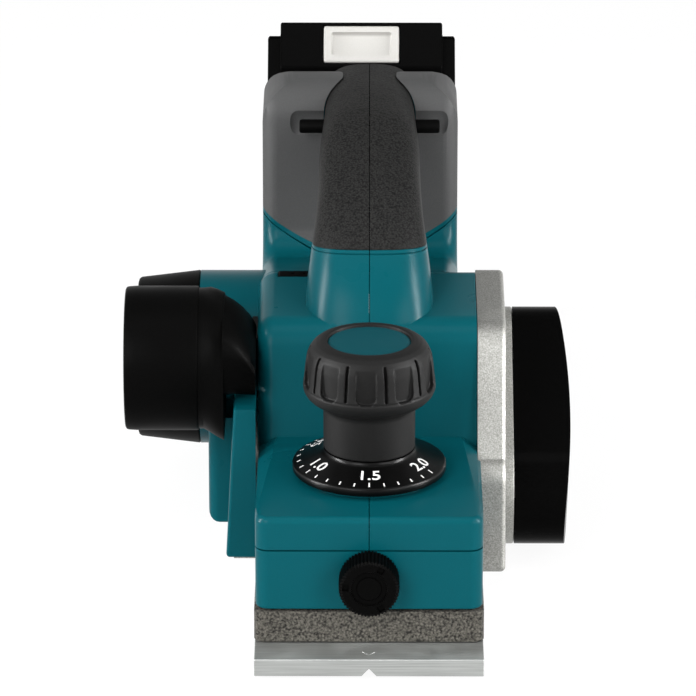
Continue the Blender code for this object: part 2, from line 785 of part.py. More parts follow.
def rear_form(name, smaller):
    """rear casing with its rounded shoulders, its surface moved in by smaller"""
    corners = inset(rear_outline, smaller) if smaller else rear_outline
    form = slab(name, rounded(corners), rear_left + smaller, rear_right - smaller, None, 0.006, 2, 0.012)
    trim = smaller + 0.00005
    arch = block(name + "_arch", (rear_left + trim, -far, -far),
                 (rear_right - trim, far, tower_top - trim), None,
                 shoulder_radius - smaller, 6, lambda e: min(v.co.z for v in e.verts) > 0
                 and abs(e.verts[0].co.x - e.verts[1].co.x) < 0.001)
    return common(form, arch)


def casing_cavity():
    """inside of the casing: its hollows less the ribs and bosses, then the seats cut in those"""
    body = slab("cavity_body", rounded(inset(body_outline, wall)), body_left + wall, body_right - wall)
    deep = wall + skin + fit
    rear = rear_form("cavity_rear", deep)
    low_rear = block("cavity_low_rear", (rear_left + wall, ridge_y, frame_low + wall),
                     (rear_right - wall, battery_y - wall, 0.085))
    handle = handle_form("cavity_handle", wall + skin)
    top = block("cavity_top_block", (-block_width / 2 + wall, block_front + wall, cover_low),
                (block_width / 2 - wall, block_back + wall + fit, top_block_top - wall))
    bulge = block("cavity_bulge", (bulge_left + wall, bulge_front + wall, bulge_low + wall),
                  (body_left + 2 * wall, bulge_back - wall, bulge_top - wall))
    join(body, rear, low_rear, handle, top, bulge)
    for x in (stator_right - 0.006, 0.024):
        rib = block(f"rib_motor_{x}", (x, channel_back + fit, frame_low),
                    (x + wall, tower_y - 0.006, ridge_z))
        cut(body, rib)
    cut(body, rod("boss_depth_screw", (0, knob_y, deck_top + fit), (0, knob_y, top_block_top),
                  thread_radius + 0.006))
    for i, (y, z) in enumerate(screw_places):
        cut(body, rod_x(f"boss_screw_{i}", y, z, -far, far, 0.0045, sides=20))
    for i, y in enumerate((switch_front + 0.001, switch_back - 0.0035)):
        cut(body, block(f"rib_switch_{i}", (-far, y, switch_low - 0.004),
                        (far, y + 0.0025, tower_top + wall)))
    for side in (-1, 1):
        low = trigger_width / 2 + fit
        x_low, x_high = (low, far) if side > 0 else (-far, -low)
        cut(body, rod_x(f"boss_trigger_{side}", trigger_y, trigger_z, x_low, x_high, 0.0048, sides=20))
    room = block("room_switch", (-switch_half - fit, switch_front - fit, switch_low - fit),
                 (switch_half + fit, switch_back + fit, switch_high + fit))
    can = rod_x("room_motor", motor_y, motor_z, motor_collar_end - wall, stator_right + 0.0055,
                stator_radius + fit,
                sides=28)
    mouth_room = rod_x("room_motor_mouth", motor_y, motor_z, motor_collar_end - wall, stator_left - fit,
                       can_bore,
                       sides=28)
    fan_room = rod_x("room_fan", motor_y, motor_z, stator_right + 0.0025, 0.0175, can_bore - wall, sides=28)
    shaft_room = rod_x("room_shaft", motor_y, motor_z, 0.010, body_right + wall,
                       motor_shaft_radius + running)
    return [body, room, can, mouth_room, fan_room, shaft_room]


def make_casing():
    whole = slab("casing_whole", rounded(body_outline), body_left, body_right, None, 0.006, 2, 0.012)
    rear = rear_form("casing_rear", 0.0)
    top = block("casing_top_block", (-block_width / 2, block_front, top_block_low),
                (block_width / 2, block_back + 0.006, top_block_top), None, 0.0035, 3,
                lambda e: upright_front(e) or (min(v.co.z for v in e.verts) > top_block_top - 0.001
                                               and max(v.co.y for v in e.verts) < block_back + 0.007))
    can = rod_x("casing_motor_can", motor_y, motor_z, motor_collar_end, body_left + 0.02, motor_can_radius,
                sides=28)
    bulge = block("casing_bulge", (bulge_left, bulge_front, bulge_low),
                  (body_left + wall, bulge_back, bulge_top),
                  None, 0.004, 3, lambda e: max(v.co.x for v in e.verts) < body_left)
    foot = handle_form("casing_handle_foot", 0.0, 0, seam_station + 1)
    core = handle_form("casing_handle_core", skin + fit, seam_station - 1)
    join(whole, rear, can, bulge, top, foot, core)
    cut(whole, *casing_cavity())
    cut(whole, band_jacket("casing_band_room", skin + fit, 0.0))
    frame_room = drum_tunnel("casing_frame_room", left_plate_end - fit, frame_right, arch_radius + fit,
                             -far)
    plate_room = block("casing_plate_room", (frame_left - fit, plate_front - fit, 0),
                       (far, ridge_y, top_block_top + 0.001))
    cut(whole, frame_room, plate_room)
    cut(whole, block("casing_chip_opening", (-0.037, nozzle_y - 0.014, 0.04),
                     (0.037, nozzle_y + 0.026, channel_low)))
    neck_front = front_wall_y(channel_top) + wall + 2 * fit
    cut(whole, block("casing_neck_hole", (-far, neck_front, neck_low - fit),
                     (-0.03, duct_back + fit, channel_top + fit)))
    cut(whole, rod("casing_depth_hole", (0, knob_y, 0), (0, knob_y, ridge_z), thread_radius + fit))
    for i, (y, z) in enumerate(screw_places):
        outer = -block_width / 2 if i == 0 else rear_left if i > 1 else -0.0235
        cut(whole, rod_x(f"casing_screw_hole_{i}", y, z, outer - 0.01, 0.016, screw_shank + fit, sides=16))
        cut(whole, rod_x(f"casing_screw_head_{i}", y, z, -far, outer + 0.005, screw_head + fit, sides=20))
        rod_x_screw(f"housing_screw_{i + 1}", y, z, outer + 0.005 - fit)
    cut(whole,
        block("casing_terminal_hole", (battery_middle - terminal_half - fit, battery_y - wall - 0.006,
                                       terminal_low - fit),
                     (battery_middle + terminal_half + fit, battery_y + 0.01, terminal_high + fit)))
    cut(whole,
        block("casing_trigger_slot", (-trigger_width / 2 - fit, trigger_y - 0.0055, trigger_z - 0.023),
                     (trigger_width / 2 + fit, trigger_y + trigger_length - 0.0025, switch_low + 0.001)))
    cut(whole, rod_x("casing_trigger_bore", trigger_y, trigger_z, -0.013, 0.013,
                     trigger_pivot_radius + fit, sides=20))
    cut(whole, rod_x("casing_lock_bore", lip_y + lock_bar_setback, lock_bar_z, -far, far,
                     lock_bar_radius + fit, sides=24))
    cut(whole, block("casing_panel_room", (panel_left - fit, panel_front - fit, ridge_z - 0.003),
                     (panel_right + fit, panel_back + fit, ridge_z + 0.01)))
    rails = rail_form("casing_rails", 0.0)
    join(whole, rails)
    adopt(whole)
    for side, name in ((-1, "right"), (1, "left")):
        half = half_space(f"housing_{name}", side, teal)
        common(half, whole)


def rod_x_screw(name, y, z, head_x):
    """casing screw, its head towards -X"""
    screw = rod_x(name, y, z, head_x - 0.0022, head_x, screw_head, steel, sides=20)
    join(screw, rod_x(name + "_shank", y, z, head_x - 0.001, 0.015, screw_shank, sides=16))
    cut(screw, block(name + "_slot", (head_x - 0.01, y - 0.0004, z - 0.002),
                     (head_x - 0.0012, y + 0.0004, z + 0.002)))


def rail_form(name, larger):
    """T-shaped rails on the rear face that the battery slides down on; larger gives its channel"""
    low = battery_low - wall if larger else battery_low + rail_rise
    high = battery_low + rail_rise + rail_length + larger
    half = rail_width / 2
    stem = block(name, (battery_middle - half + rail_lip - larger, battery_y - 0.001, low),
                 (battery_middle + half - rail_lip + larger, battery_y + rail_depth + larger, high))
    lips = block(name + "_lips", (battery_middle - half - larger, battery_y + rail_depth / 2 - larger, low),
                 (battery_middle + half + larger, battery_y + rail_depth + larger, high))
    join(stem, lips)
    room = block(name + "_room", (battery_middle - half + 2.5 * rail_lip + larger, battery_y - wall,
                                  low - wall),
                 (battery_middle + half - 2.5 * rail_lip - larger, battery_y + rail_depth + 2 * wall,
                  high + wall))
    cut(stem, room)
    return stem


def band_jacket(name, depth, smaller):
    """layer of the tower's surface that the soft band takes up, down to a depth below it"""
    whole = block(name, (-far, band_front + smaller, band_low + smaller),
                  (far, battery_y - 0.0045 - smaller, 0.17))
    inner = rear_form(name + "_inner", depth)
    handle = handle_form(name + "_handle", -2 * fit - smaller)
    cut(whole, inner)
    cut(whole, handle)
    return whole


def make_rear_band():
    outer = rear_form("band_outer", 0.0)
    layer = band_jacket("band_layer", skin, fit)
    for side, name in ((-1, "right"), (1, "left")):
        band = half_space(f"rear_grip_{name}", side, grey_rubber)
        common(band, outer, layer)
        cut(band, rod_x(f"band_lock_room_{name}", lip_y + lock_bar_setback, lock_bar_z, -far, far, 0.008,
                        sides=24))


def make_grips():
    outer = handle_form("grip_outer", 0.0, seam_station, face_station + 1, fit)
    core = handle_form("grip_core", skin, seam_station - 1)
    for side, name in ((-1, "right"), (1, "left")):
        grip = half_space(f"grip_{name}", side, grip_rubber)
        common(grip, outer)
        cut(grip, core)
        cut(grip,
            block(f"grip_trigger_slot_{name}", (-trigger_width / 2 - 0.001, trigger_y - 0.0065,
                                                trigger_z - 0.023),
                        (trigger_width / 2 + 0.001, trigger_y + trigger_length - 0.0015, switch_low)))
        cut(grip, rod_x(f"grip_lock_bore_{name}", lip_y + lock_bar_setback, lock_bar_z, -far, far,
                        lock_bar_radius + 2 * fit, sides=24))


# ================================================================ pieces on the tool's right-hand side
def make_side_cover():
    cover_front = block_back - 0.012
    cover_right = min(body_left, -foam_width / 2) - fit
    low = frame_low + 0.0033
    high = nozzle_z - 0.009
    cover = block("side_cover", (side_cover_left, cover_front, low),
                  (cover_right, bulge_front - fit, high), teal,
                  0.003, 3, lambda e: max(v.co.x for v in e.verts) < body_left - 0.005)
    cut(cover,
        block("side_cover_room", (left_plate_end - fit, cover_front + wall - 0.0005, low + wall - 0.0005),
                     (0, bulge_front - wall, high - wall + 0.0005)))
    cut(cover, drum_tunnel("side_cover_frame_room", left_plate_end - fit, frame_left, arch_radius + fit,
                           -far))


def round_section(x, y, z, radius, points=32):
    return [Vector((x, y + radius * math.cos(2 * math.pi * i / points),
                    z + radius * math.sin(2 * math.pi * i / points)))
            for i in range(points)]


def square_section(x, smaller, points=32, squareness=5.0):
    """rounded-square mouth of the chip duct against the casing"""
    y = (duct_front + duct_back) / 2
    z = (duct_low + duct_top) / 2
    half_y = (duct_back - duct_front) / 2 - smaller
    half_z = (duct_top - duct_low) / 2 - smaller
    made = []
    for i in range(points):
        c = math.cos(2 * math.pi * i / points)
        s = math.sin(2 * math.pi * i / points)
        made.append(Vector((x, y + math.copysign(abs(c) ** (2 / squareness), c) * half_y,
                            z + math.copysign(abs(s) ** (2 / squareness), s) * half_z)))
    return made


def make_chip_outlet():
    face = body_left - 2 * fit
    root_radius = nozzle_radius - 0.0008
    flange_x = side_cover_left - fit
    duct = loft("chip_duct", [round_section(nozzle_root, nozzle_y, nozzle_z, root_radius),
                              round_section(nozzle_root + 0.004, nozzle_y, nozzle_z, root_radius),
                              square_section(flange_x, 0.0), square_section(face, 0.0)], black)
    front = front_wall_y(channel_top) + wall + 3 * fit
    neck = block("duct_neck", (face - 0.002, front, neck_low),
                 (body_left + wall + 0.002, duct_back, channel_top))
    low_front = front_wall_y(channel_low) + wall + 3 * fit
    channel_outline = [(channel_back, channel_low, 0.0), (low_front, channel_low, 0.0),
                       (front, channel_top, 0.0),
                       (channel_back, channel_top, 0.0)]
    channel_left = body_left + wall + fit
    channel_right = body_right - 2 * wall
    channel = slab("duct_channel", rounded(channel_outline), channel_left, channel_right)
    join(duct, neck, channel)
    bore = loft("duct_bore",
                [round_section(nozzle_root - wall, nozzle_y, nozzle_z, root_radius - nozzle_wall),
                              round_section(nozzle_root + 0.004, nozzle_y, nozzle_z,
                                            root_radius - nozzle_wall),
                              square_section(flange_x, nozzle_wall + 0.001),
                              square_section(face - 0.003, nozzle_wall + 0.001)])
    inner_neck = block("duct_neck_bore", (face - 0.004, front + nozzle_wall, neck_low + nozzle_wall),
                       (body_left + wall + 0.01, duct_back - nozzle_wall, channel_top - nozzle_wall))
    inner_channel = slab("duct_channel_bore", rounded(inset(channel_outline, nozzle_wall)),
                         channel_left + nozzle_wall, channel_right - nozzle_wall)
    drop = block("duct_drop", (-0.033, drum_y - 0.017, channel_low - wall),
                 (0.033, drum_y + 0.011, channel_low + 0.01))
    cut(duct, bore, inner_neck, inner_channel, drop)
    nozzle = rod_x("chip_nozzle", nozzle_y, nozzle_z, nozzle_end, nozzle_root - fit, nozzle_radius, black,
                   sides=28)
    cut(nozzle, rod_x("nozzle_bore", nozzle_y, nozzle_z, -far, 0, nozzle_radius - nozzle_wall, sides=28))


def make_motor():
    cap_root = motor_collar_end - fit
    cap = rod_x("motor_end_cap", motor_y, motor_z, cap_end, cap_root, cap_end_radius, black,
                motor_can_radius, 28)
    room = rod_x("end_cap_room", motor_y, motor_z, cap_end + wall, 0, cap_end_radius - wall, None,
                 can_bore, 28)
    seat_end = cap_end + wall + 0.010
    cut(room, rod_x("end_cap_seat", motor_y, motor_z, -far, seat_end, cap_bearing_radius + wall))
    cut(cap, room)
    cut(cap, rod_x("end_cap_bearing_room", motor_y, motor_z, cap_end + wall + 0.001, 0,
                   cap_bearing_radius + fit))
    outer_bearing = cap_end + wall + 0.001 + fit
    shaft_left = outer_bearing + fit
    ring_x("motor_bearing_outer", motor_y, motor_z, outer_bearing, outer_bearing + 0.006,
           cap_bearing_radius,
           motor_shaft_radius + fit, steel)
    ring_x("motor_stator", motor_y, motor_z, stator_left, stator_right, stator_radius,
           rotor_radius + 0.0007, copper, 28)
    ring_x("motor_bearing_inner", motor_y, motor_z, frame_left + fit, frame_right - 0.0025 - fit,
           motor_bearing_radius, motor_shaft_radius + fit, steel)
    rod_x("motor_shaft", motor_y, motor_z, shaft_left, pulley_left + pulley_width, motor_shaft_radius,
          steel)
    ring_x("rotor_core", motor_y, motor_z, stator_left + 0.001, stator_right - 0.001, rotor_radius,
           motor_shaft_radius + fit, steel)
    fan_left = stator_right + 0.004
    fan = rod_x("cooling_fan", motor_y, motor_z, fan_left, fan_left + 0.0015, can_bore - wall - running,
                black, sides=24)
    blades = 9
    for i in range(blades):
        blade = block(f"fan_blade_{i}", (fan_left + 0.001, 0.009, -0.0007),
                      (fan_left + 0.0095, 0.0245, 0.0007))
        turn = Matrix.Rotation(2 * math.pi * i / blades, 4, "X")
        blade.data.transform(Matrix.Translation((0, motor_y, motor_z)) @ turn)
        join(fan, blade)
    join(fan, rod_x("fan_hub", motor_y, motor_z, fan_left + 0.0005, fan_left + 0.0102, 0.010))
    cut(fan, rod_x("fan_bore", motor_y, motor_z, -far, far, motor_shaft_radius + fit))


# ================================================================ drum, belt and guard
blade_angles = (60, 240)
blade_thickness = 0.0012
clamp_width = 0.0085
slot_depth = 0.0125             # from the drum axis to the floor of a blade slot


def on_drum(made, angle):
    """turn a shape that was made at the drum's top (radial +Z, tangent +Y) to its place"""
    place = Matrix.Translation((0, drum_y, drum_z)) @ Matrix.Rotation(math.radians(angle), 4, "X")
    made.data.transform(place)
    return made


def make_drum():
    half = planing_width / 2
    drum = rod_x("cutter_drum", drum_y, drum_z, -half, half, drum_radius, cast, sides=28)
    join(drum, rod_x("drum_shaft", drum_y, drum_z, left_plate_end + 0.0015 + fit,
                     pulley_left + pulley_width,
                     drum_shaft_radius))
    for i, angle in enumerate(blade_angles):
        slot = block(f"drum_slot_{i}", (-far, -blade_thickness - fit, slot_depth),
                     (far, clamp_width + 2 * fit, cutting_radius + wall))
        cut(drum, on_drum(slot, angle))
        blade = block(f"blade_{i + 1}", (-half, -blade_thickness, slot_depth + fit),
                      (half, 0, cutting_radius), steel)
        on_drum(blade, angle)
        clamp = block(f"blade_clamp_{i + 1}", (-half, fit, slot_depth + fit),
                      (half, fit + clamp_width, drum_radius - 0.0035), cast, 0.001, 2)
        on_drum(clamp, angle)
    ring_x("drum_bearing_left", drum_y, drum_z, planing_width / 2 + 0.0004 + fit,
           frame_right - 0.0015 - fit,
           drum_bearing_radius, drum_shaft_radius + fit, steel)
    ring_x("drum_bearing_right", drum_y, drum_z, left_plate_end + 0.0015 + fit, body_left - fit,
           motor_bearing_radius, drum_shaft_radius + fit, steel)


def make_belt_drive():
    ring_x("drum_pulley", drum_y, drum_z, pulley_left, pulley_left + pulley_width, drum_pulley_radius,
           drum_shaft_radius + fit, steel, 24)
    ring_x("motor_pulley", motor_y, motor_z, pulley_left, pulley_left + pulley_width, motor_pulley_radius,
           motor_shaft_radius + fit, steel, 24)
    belt = slab("drive_belt", obround(drum_pulley_radius + fit + belt_thickness,
                                      motor_pulley_radius + fit + belt_thickness),
                pulley_left + fit, pulley_left + pulley_width - fit, rubber)
    cut(belt, slab("belt_inside", obround(drum_pulley_radius + fit, motor_pulley_radius + fit), 0, far))
    cover = slab("belt_cover", obround(cover_drum_radius, cover_motor_radius), belt_cover_left,
                 belt_cover_end,
                 black, 0.002, 2)
    cut(cover,
        slab("belt_cover_room", obround(cover_drum_radius - cover_wall, cover_motor_radius - cover_wall),
                    belt_cover_left - wall, pulley_left + pulley_width + 2 * fit + 0.003))
    slope = math.atan2(belt_cover_end - belt_cover_high_end, between.y)
    shave = block("belt_cover_slope", (0, -far, -far), (far, far, far))
    shave.data.transform(Matrix.Translation((belt_cover_end, 0, drum_z)) @ Matrix.Rotation(-slope, 4, "Y"))
    cut(cover, shave)
    for i, (y, z) in enumerate(belt_cover_screws):
        post_end = pulley_left + pulley_width + 0.005
        post = rod_x(f"belt_cover_post_{i}", y, z, frame_right + fit, post_end, 0.0043, sides=20)
        join(cover, post)
    for i, (y, z) in enumerate(belt_cover_screws):
        head_x = pulley_left + pulley_width + 0.0035
        cut(cover, rod_x(f"belt_cover_hole_{i}", y, z, 0, far, 0.002 + fit, sides=16))
        cut(cover, rod_x(f"belt_cover_head_room_{i}", y, z, head_x, far, 0.0033 + fit, sides=20))
        screw = rod_x(f"belt_cover_screw_{i + 1}", y, z, head_x + fit, head_x + fit + 0.0022, 0.0033,
                      steel, sides=20)
        join(screw, rod_x(f"belt_cover_shank_{i}", y, z, frame_right - 0.005 + fit, head_x + 0.001, 0.002,
                          sides=16))


# ================================================================ battery, controls and electrics
def make_battery():
    case = block("battery_case", (battery_left, battery_front, battery_low),
                 (battery_right, battery_back, battery_top),
                 black, 0.006, 3, lambda e: (abs(e.verts[0].co.z - e.verts[1].co.z) > 0.01
                                             or min(v.co.z for v in e.verts) > battery_top - 0.001))
    slope = block("battery_slope", (-far, -far, 0), (far, far, far))
    foot = Vector((0, battery_front, battery_top - battery_slope))
    tilt = Matrix.Translation(foot) @ Matrix.Rotation(math.radians(45), 4, "X")
    slope.data.transform(tilt)
    cut(case, slope)
    back_slope = block("battery_back_slope", (-far, 0, 0), (far, far, far))
    crest = Matrix.Translation((0, battery_front + battery_slope, battery_top))
    back_slope.data.transform(crest @ Matrix.Rotation(math.radians(-battery_fall), 4, "X"))
    cut(case, back_slope)
    cut(case, rail_form("battery_channel", 2 * fit))
    low_slot = block("battery_channel_exit",
                     (battery_middle - rail_width / 2 - 2 * fit, battery_front - wall,
                                              battery_low - wall),
                     (battery_middle + rail_width / 2 + 2 * fit, battery_y + rail_depth + 2 * fit,
                      battery_low + 0.012))
    cut(case, low_slot)
    cut(case, block("battery_contact_room", (battery_middle - terminal_half - 0.002, battery_front - wall,
                                             battery_low - wall),
                    (battery_middle + terminal_half + 0.002, battery_y + 0.0125, terminal_high + 0.004)))
    cells_low = (battery_left + battery_wall, battery_y + 0.0165, battery_low + battery_wall)
    cells_high = (battery_right - battery_wall, battery_back - battery_wall, battery_top - 0.024)
    cut(case, block("battery_cell_room", cells_low, cells_high))
    cut(case, block("battery_vent", (battery_middle - 0.004, battery_back - 0.01, battery_low + 0.010),
                    (battery_middle + 0.004, battery_back + 0.01, battery_low + 0.013)))
    make_cells(cells_low, cells_high)
    half = button_width / 2
    run = Matrix.Translation(foot + Vector((0, 0.0004, 0.0004))) @ Matrix.Rotation(math.radians(45), 4, "X")
    low = 0.0017
    pocket = block("button_pocket",
                   (battery_middle - half - fit, low - fit, -button_height - button_travel),
                   (battery_middle + half + fit, low + button_length + fit, 0.01))
    pocket.data.transform(run)
    cut(case, pocket)
    button = block("battery_button", (battery_middle - half, low, -button_height + 2 * fit),
                   (battery_middle + half, low + button_length, 0.0006), white, 0.0013, 3)
    dish = block("button_dish", (battery_middle - half + wall, low + wall, -0.0022),
                 (battery_middle + half - wall, low + button_length - wall, 0.01))
    button.data.transform(run)
    dish.data.transform(run)
    cut(button, dish)


def make_cells(low, high):
    """two rows of round cells, joined by their holder into one pack"""
    radius = 0.009
    cell_pitch = 0.0176
    x_low = low[0] + fit
    x_high = high[0] - fit
    holder = block("battery_cells", (x_low + 0.005, low[1] + 0.010, low[2] + fit),
                   (x_high - 0.005, high[1] - 0.010, low[2] + fit + 4.75 * 2 * radius), cell)
    for row in range(2):
        y = low[1] + fit + radius if row == 0 else high[1] - fit - radius
        for i in range(5):
            z = low[2] + fit + radius + i * cell_pitch
            join(holder, rod_x(f"cell_{row}_{i}", y, z, x_low, x_high, radius, sides=10))


def make_controls():
    pivot = rod_x("trigger", trigger_y, trigger_z, -0.0125, 0.0125, trigger_pivot_radius, grip_rubber,
                  sides=20)
    tail = trigger_y + trigger_length - 0.0045
    outline = [(trigger_y - 0.0035, trigger_z - 0.004, 0.002),
               (trigger_y - 0.0035, trigger_z + 0.003, 0.002),
               (tail, trigger_z - 0.003, 0.001), (tail - 0.0005, trigger_z - 0.0165, 0.003),
               (trigger_y + 0.008, trigger_z - 0.0155, 0.004)]
    join(pivot, slab("trigger_blade", rounded(outline), -trigger_width / 2, trigger_width / 2, None,
                     0.0012, 2))
    half = lock_bar_length / 2
    rod_x("lock_off_bar", lip_y + lock_bar_setback, lock_bar_z, -half, half, lock_bar_radius, black,
          sides=24)
    block("switch_body", (-switch_half, switch_front, switch_low), (switch_half, switch_back, switch_high),
          black,
          0.0008, 1)
    block("controller", (rear_left + 2 * wall, controller_front, controller_low),
          (rear_right - 2 * wall, controller_back, controller_top), steel, 0.001, 1)
    terminal = block("terminal_block", (battery_middle - terminal_half, battery_y - wall - 0.005,
                                        terminal_low),
                     (battery_middle + terminal_half, battery_y + 0.002, terminal_high), black)
    for i in range(4):
        x = battery_middle + (i - 1.5) * 0.0075
        join(terminal, block(f"terminal_fin_{i}", (x - 0.0006, battery_y, terminal_low + 0.003),
                             (x + 0.0006, battery_y + 0.0105, terminal_high - 0.003)))
    block("status_panel", (panel_left, panel_front, ridge_z - 0.003 + fit),
          (panel_right, panel_back, ridge_z - 0.0002), black, 0.0006, 1)


make_front_base()
make_foam()
make_rear_base()
make_frame()
make_front_cover()
make_thumb_screw()
make_knob()
make_casing()
make_rear_band()
make_grips()
make_side_cover()
make_chip_outlet()
make_motor()
make_drum()
make_belt_drive()
make_battery()
make_controls()


# ================================================================ joints
def with_tools(piece):
    """a piece and every shape that its Booleans use"""
    found = [piece]
    for step in piece.modifiers:
        if step.type == "BOOLEAN":
            found += with_tools(step.object)
    return found


def hang(name, place, pieces, carrier=None):
    """parent moving pieces to an empty on their joint's axis, without moving them"""
    empty = bpy.data.objects.new(name, None)
    empty.empty_display_size = 0.01
    empty.location = place
    parts.objects.link(empty)
    if carrier:
        empty.parent = carrier
        empty.matrix_parent_inverse = Matrix.Translation(carrier.location).inverted()
    for piece in pieces:
        for made in with_tools(bpy.data.objects[piece]):
            made.parent = empty
            made.matrix_parent_inverse = Matrix.Translation(place).inverted()
    return empty


hang("depth_knob_axis", (0, knob_y, dial_low), ("knob_grip", "depth_dial", "knob_cap", "depth_screw"))
hang("front_shoe_axis", (0, knob_y, shoe_low), ("front_base", "foam_seal", "guide_pin_left",
                                                "guide_pin_right"))
hang("thumb_screw_axis", (0, block_front, thumb_z), ("thumb_screw",))
hang("drum_axis", (0, drum_y, drum_z),
     ("cutter_drum", "blade_1", "blade_2", "blade_clamp_1", "blade_clamp_2", "drum_pulley"))
hang("rotor_axis", (0, motor_y, motor_z), ("motor_shaft", "rotor_core", "cooling_fan", "motor_pulley"))
hang("trigger_axis", (0, trigger_y, trigger_z), ("trigger",))
hang("lock_off_axis", (0, lip_y + lock_bar_setback, lock_bar_z), ("lock_off_bar",))
battery_slide = hang("battery_slide", (battery_middle, battery_front, battery_low),
                     ("battery_case", "battery_cells"))
hang("battery_button_slide", (battery_middle, battery_front, battery_top - battery_slope),
     ("battery_button",),
     battery_slide)
bpy.context.view_layer.update()
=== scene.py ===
import math

import bmesh
import bpy
from mathutils import Matrix, Vector


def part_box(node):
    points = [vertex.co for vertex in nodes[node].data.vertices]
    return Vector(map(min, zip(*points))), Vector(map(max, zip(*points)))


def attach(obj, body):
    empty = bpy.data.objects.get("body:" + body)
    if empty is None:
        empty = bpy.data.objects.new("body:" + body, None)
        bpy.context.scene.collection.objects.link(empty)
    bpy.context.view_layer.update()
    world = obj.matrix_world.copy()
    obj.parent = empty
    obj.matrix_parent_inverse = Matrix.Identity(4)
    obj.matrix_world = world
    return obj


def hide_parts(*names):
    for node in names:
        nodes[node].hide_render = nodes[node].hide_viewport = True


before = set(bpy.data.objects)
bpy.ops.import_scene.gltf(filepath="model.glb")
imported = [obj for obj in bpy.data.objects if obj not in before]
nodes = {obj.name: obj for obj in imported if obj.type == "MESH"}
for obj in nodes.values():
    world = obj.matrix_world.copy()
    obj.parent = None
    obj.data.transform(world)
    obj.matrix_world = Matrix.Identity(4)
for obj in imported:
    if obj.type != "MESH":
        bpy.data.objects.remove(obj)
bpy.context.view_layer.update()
print("frame loaded:", len(nodes), "nodes")

seam = 0.0003                         # the gap left where two pieces meet
far = 0.4                             # beyond everything, for cutting tools
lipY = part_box("front_base")[0].y      # the planer's front edge, most places are measured from it
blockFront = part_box("front_cover")[0].y
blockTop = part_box("depth_dial")[0].z - seam


# ---- camera, light and floor
cameraSet = {"place": (-0.0005, lipY - 1.914, 0.8765), "tilt": 68.7, "turn": 0.214, "lens": 297.6}
lampSet = {
    # name: (place, size, power)
    "key": ((-0.55, -1.15, 0.75), (0.55, 0.8), 12.0),
    "fill": ((0.80, -1.05, 0.50), (0.5, 0.8), 7.5),
    "top": ((0.0, -0.35, 1.15), (0.9, 0.4), 2.4),
    "left": ((-0.95, -0.28, 0.35), (0.05, 0.9), 8.0),
    "right": ((0.95, -0.28, 0.35), (0.05, 0.9), 7.0),
    "leftGleam": ((-0.95, -0.30, 0.35), (0.12, 0.9), 24.0),
    "rightGleam": ((0.95, -0.30, 0.35), (0.12, 0.9), 24.0),
}
gleams = ("leftGleam", "rightGleam")     # these only show in glosses
worldSet = {
    # both fade upwards: (height where the fade starts, where it ends, strength low down, strength high up)
    "soft": (-0.1, 0.8, 0.46, 0.22), "seen": (0.15, 0.6, 1.0, 0.4), "backdrop": 1.06,
}
floorSet = {"radius": 4.0, "drop": 0.0004, "grey": 0.8, "glow": 1.07, "share": 0.86}


def addNode(tree, kind, values=(), **settings):
    node = tree.nodes.new(kind)
    for key, value in settings.items():
        setattr(node, key, value)
    for label, value in dict(values).items():
        node.inputs[label].default_value = value
    return node


def link(tree, source, target):
    tree.links.new(source, target)


def aim(thing, target):
    thing.rotation_euler = (Vector(target) - thing.location).to_track_quat("-Z", "Y").to_euler()


def makeCamera():
    data = bpy.data.cameras.new("mainCamera")
    camera = bpy.data.objects.new("mainCamera", data)
    bpy.context.scene.collection.objects.link(camera)
    camera.location = cameraSet["place"]
    camera.rotation_euler = (math.radians(cameraSet["tilt"]), 0, math.radians(cameraSet["turn"]))
    data.lens = cameraSet["lens"]
    data.sensor_width = 36
    data.clip_end = 20
    bpy.context.scene.camera = camera


def makeLamps():
    for name, (place, size, power) in lampSet.items():
        data = bpy.data.lights.new(name, "AREA")
        data.shape = "RECTANGLE"
        data.size, data.size_y = size
        data.energy = power
        lamp = bpy.data.objects.new(name, data)
        bpy.context.scene.collection.objects.link(lamp)
        lamp.location = place
        lamp.visible_diffuse = name not in gleams
        aim(lamp, (0, -0.06, 0.06))


# rays that look straight at the floor or world, or see it in a gloss or through glass
def backdropRays(tree):
    path = addNode(tree, "ShaderNodeLightPath")
    both = addNode(tree, "ShaderNodeMath", operation="MAXIMUM")
    rays = addNode(tree, "ShaderNodeMath", operation="MAXIMUM")
    link(tree, path.outputs["Is Glossy Ray"], both.inputs[0])
    link(tree, path.outputs["Is Transmission Ray"], both.inputs[1])
    link(tree, path.outputs["Is Camera Ray"], rays.inputs[0])
    link(tree, both.outputs[0], rays.inputs[1])
    return rays.outputs[0]


# the light and what glosses see are weaker from above than from the sides
def makeWorld():
    world = bpy.data.worlds.new("paleRoom")
    bpy.context.scene.world = world
    world.use_nodes = True
    tree = world.node_tree
    tree.nodes.clear()
    place = addNode(tree, "ShaderNodeTexCoord")
    split = addNode(tree, "ShaderNodeSeparateXYZ")
    link(tree, place.outputs["Generated"], split.inputs[0])
    fades = {}
    for name in ("soft", "seen"):
        fade = addNode(tree, "ShaderNodeMapRange",
                       zip(("From Min", "From Max", "To Min", "To Max"), worldSet[name]), name=name)
        link(tree, split.outputs["Z"], fade.inputs["Value"])
        fades[name] = fade.outputs["Result"]
    path = addNode(tree, "ShaderNodeLightPath")
    level = addNode(tree, "ShaderNodeMix", {"A": worldSet["backdrop"]})
    link(tree, path.outputs["Is Glossy Ray"], level.inputs["Factor"])
    link(tree, fades["seen"], level.inputs["B"])
    soft = addNode(tree, "ShaderNodeBackground", {"Color": (1, 1, 1, 1)})
    link(tree, fades["soft"], soft.inputs["Strength"])
    white = addNode(tree, "ShaderNodeBackground", {"Color": (1, 1, 1, 1)})
    link(tree, level.outputs["Result"], white.inputs["Strength"])
    mixUp(tree, "ShaderNodeOutputWorld", backdropRays(tree), soft, white)


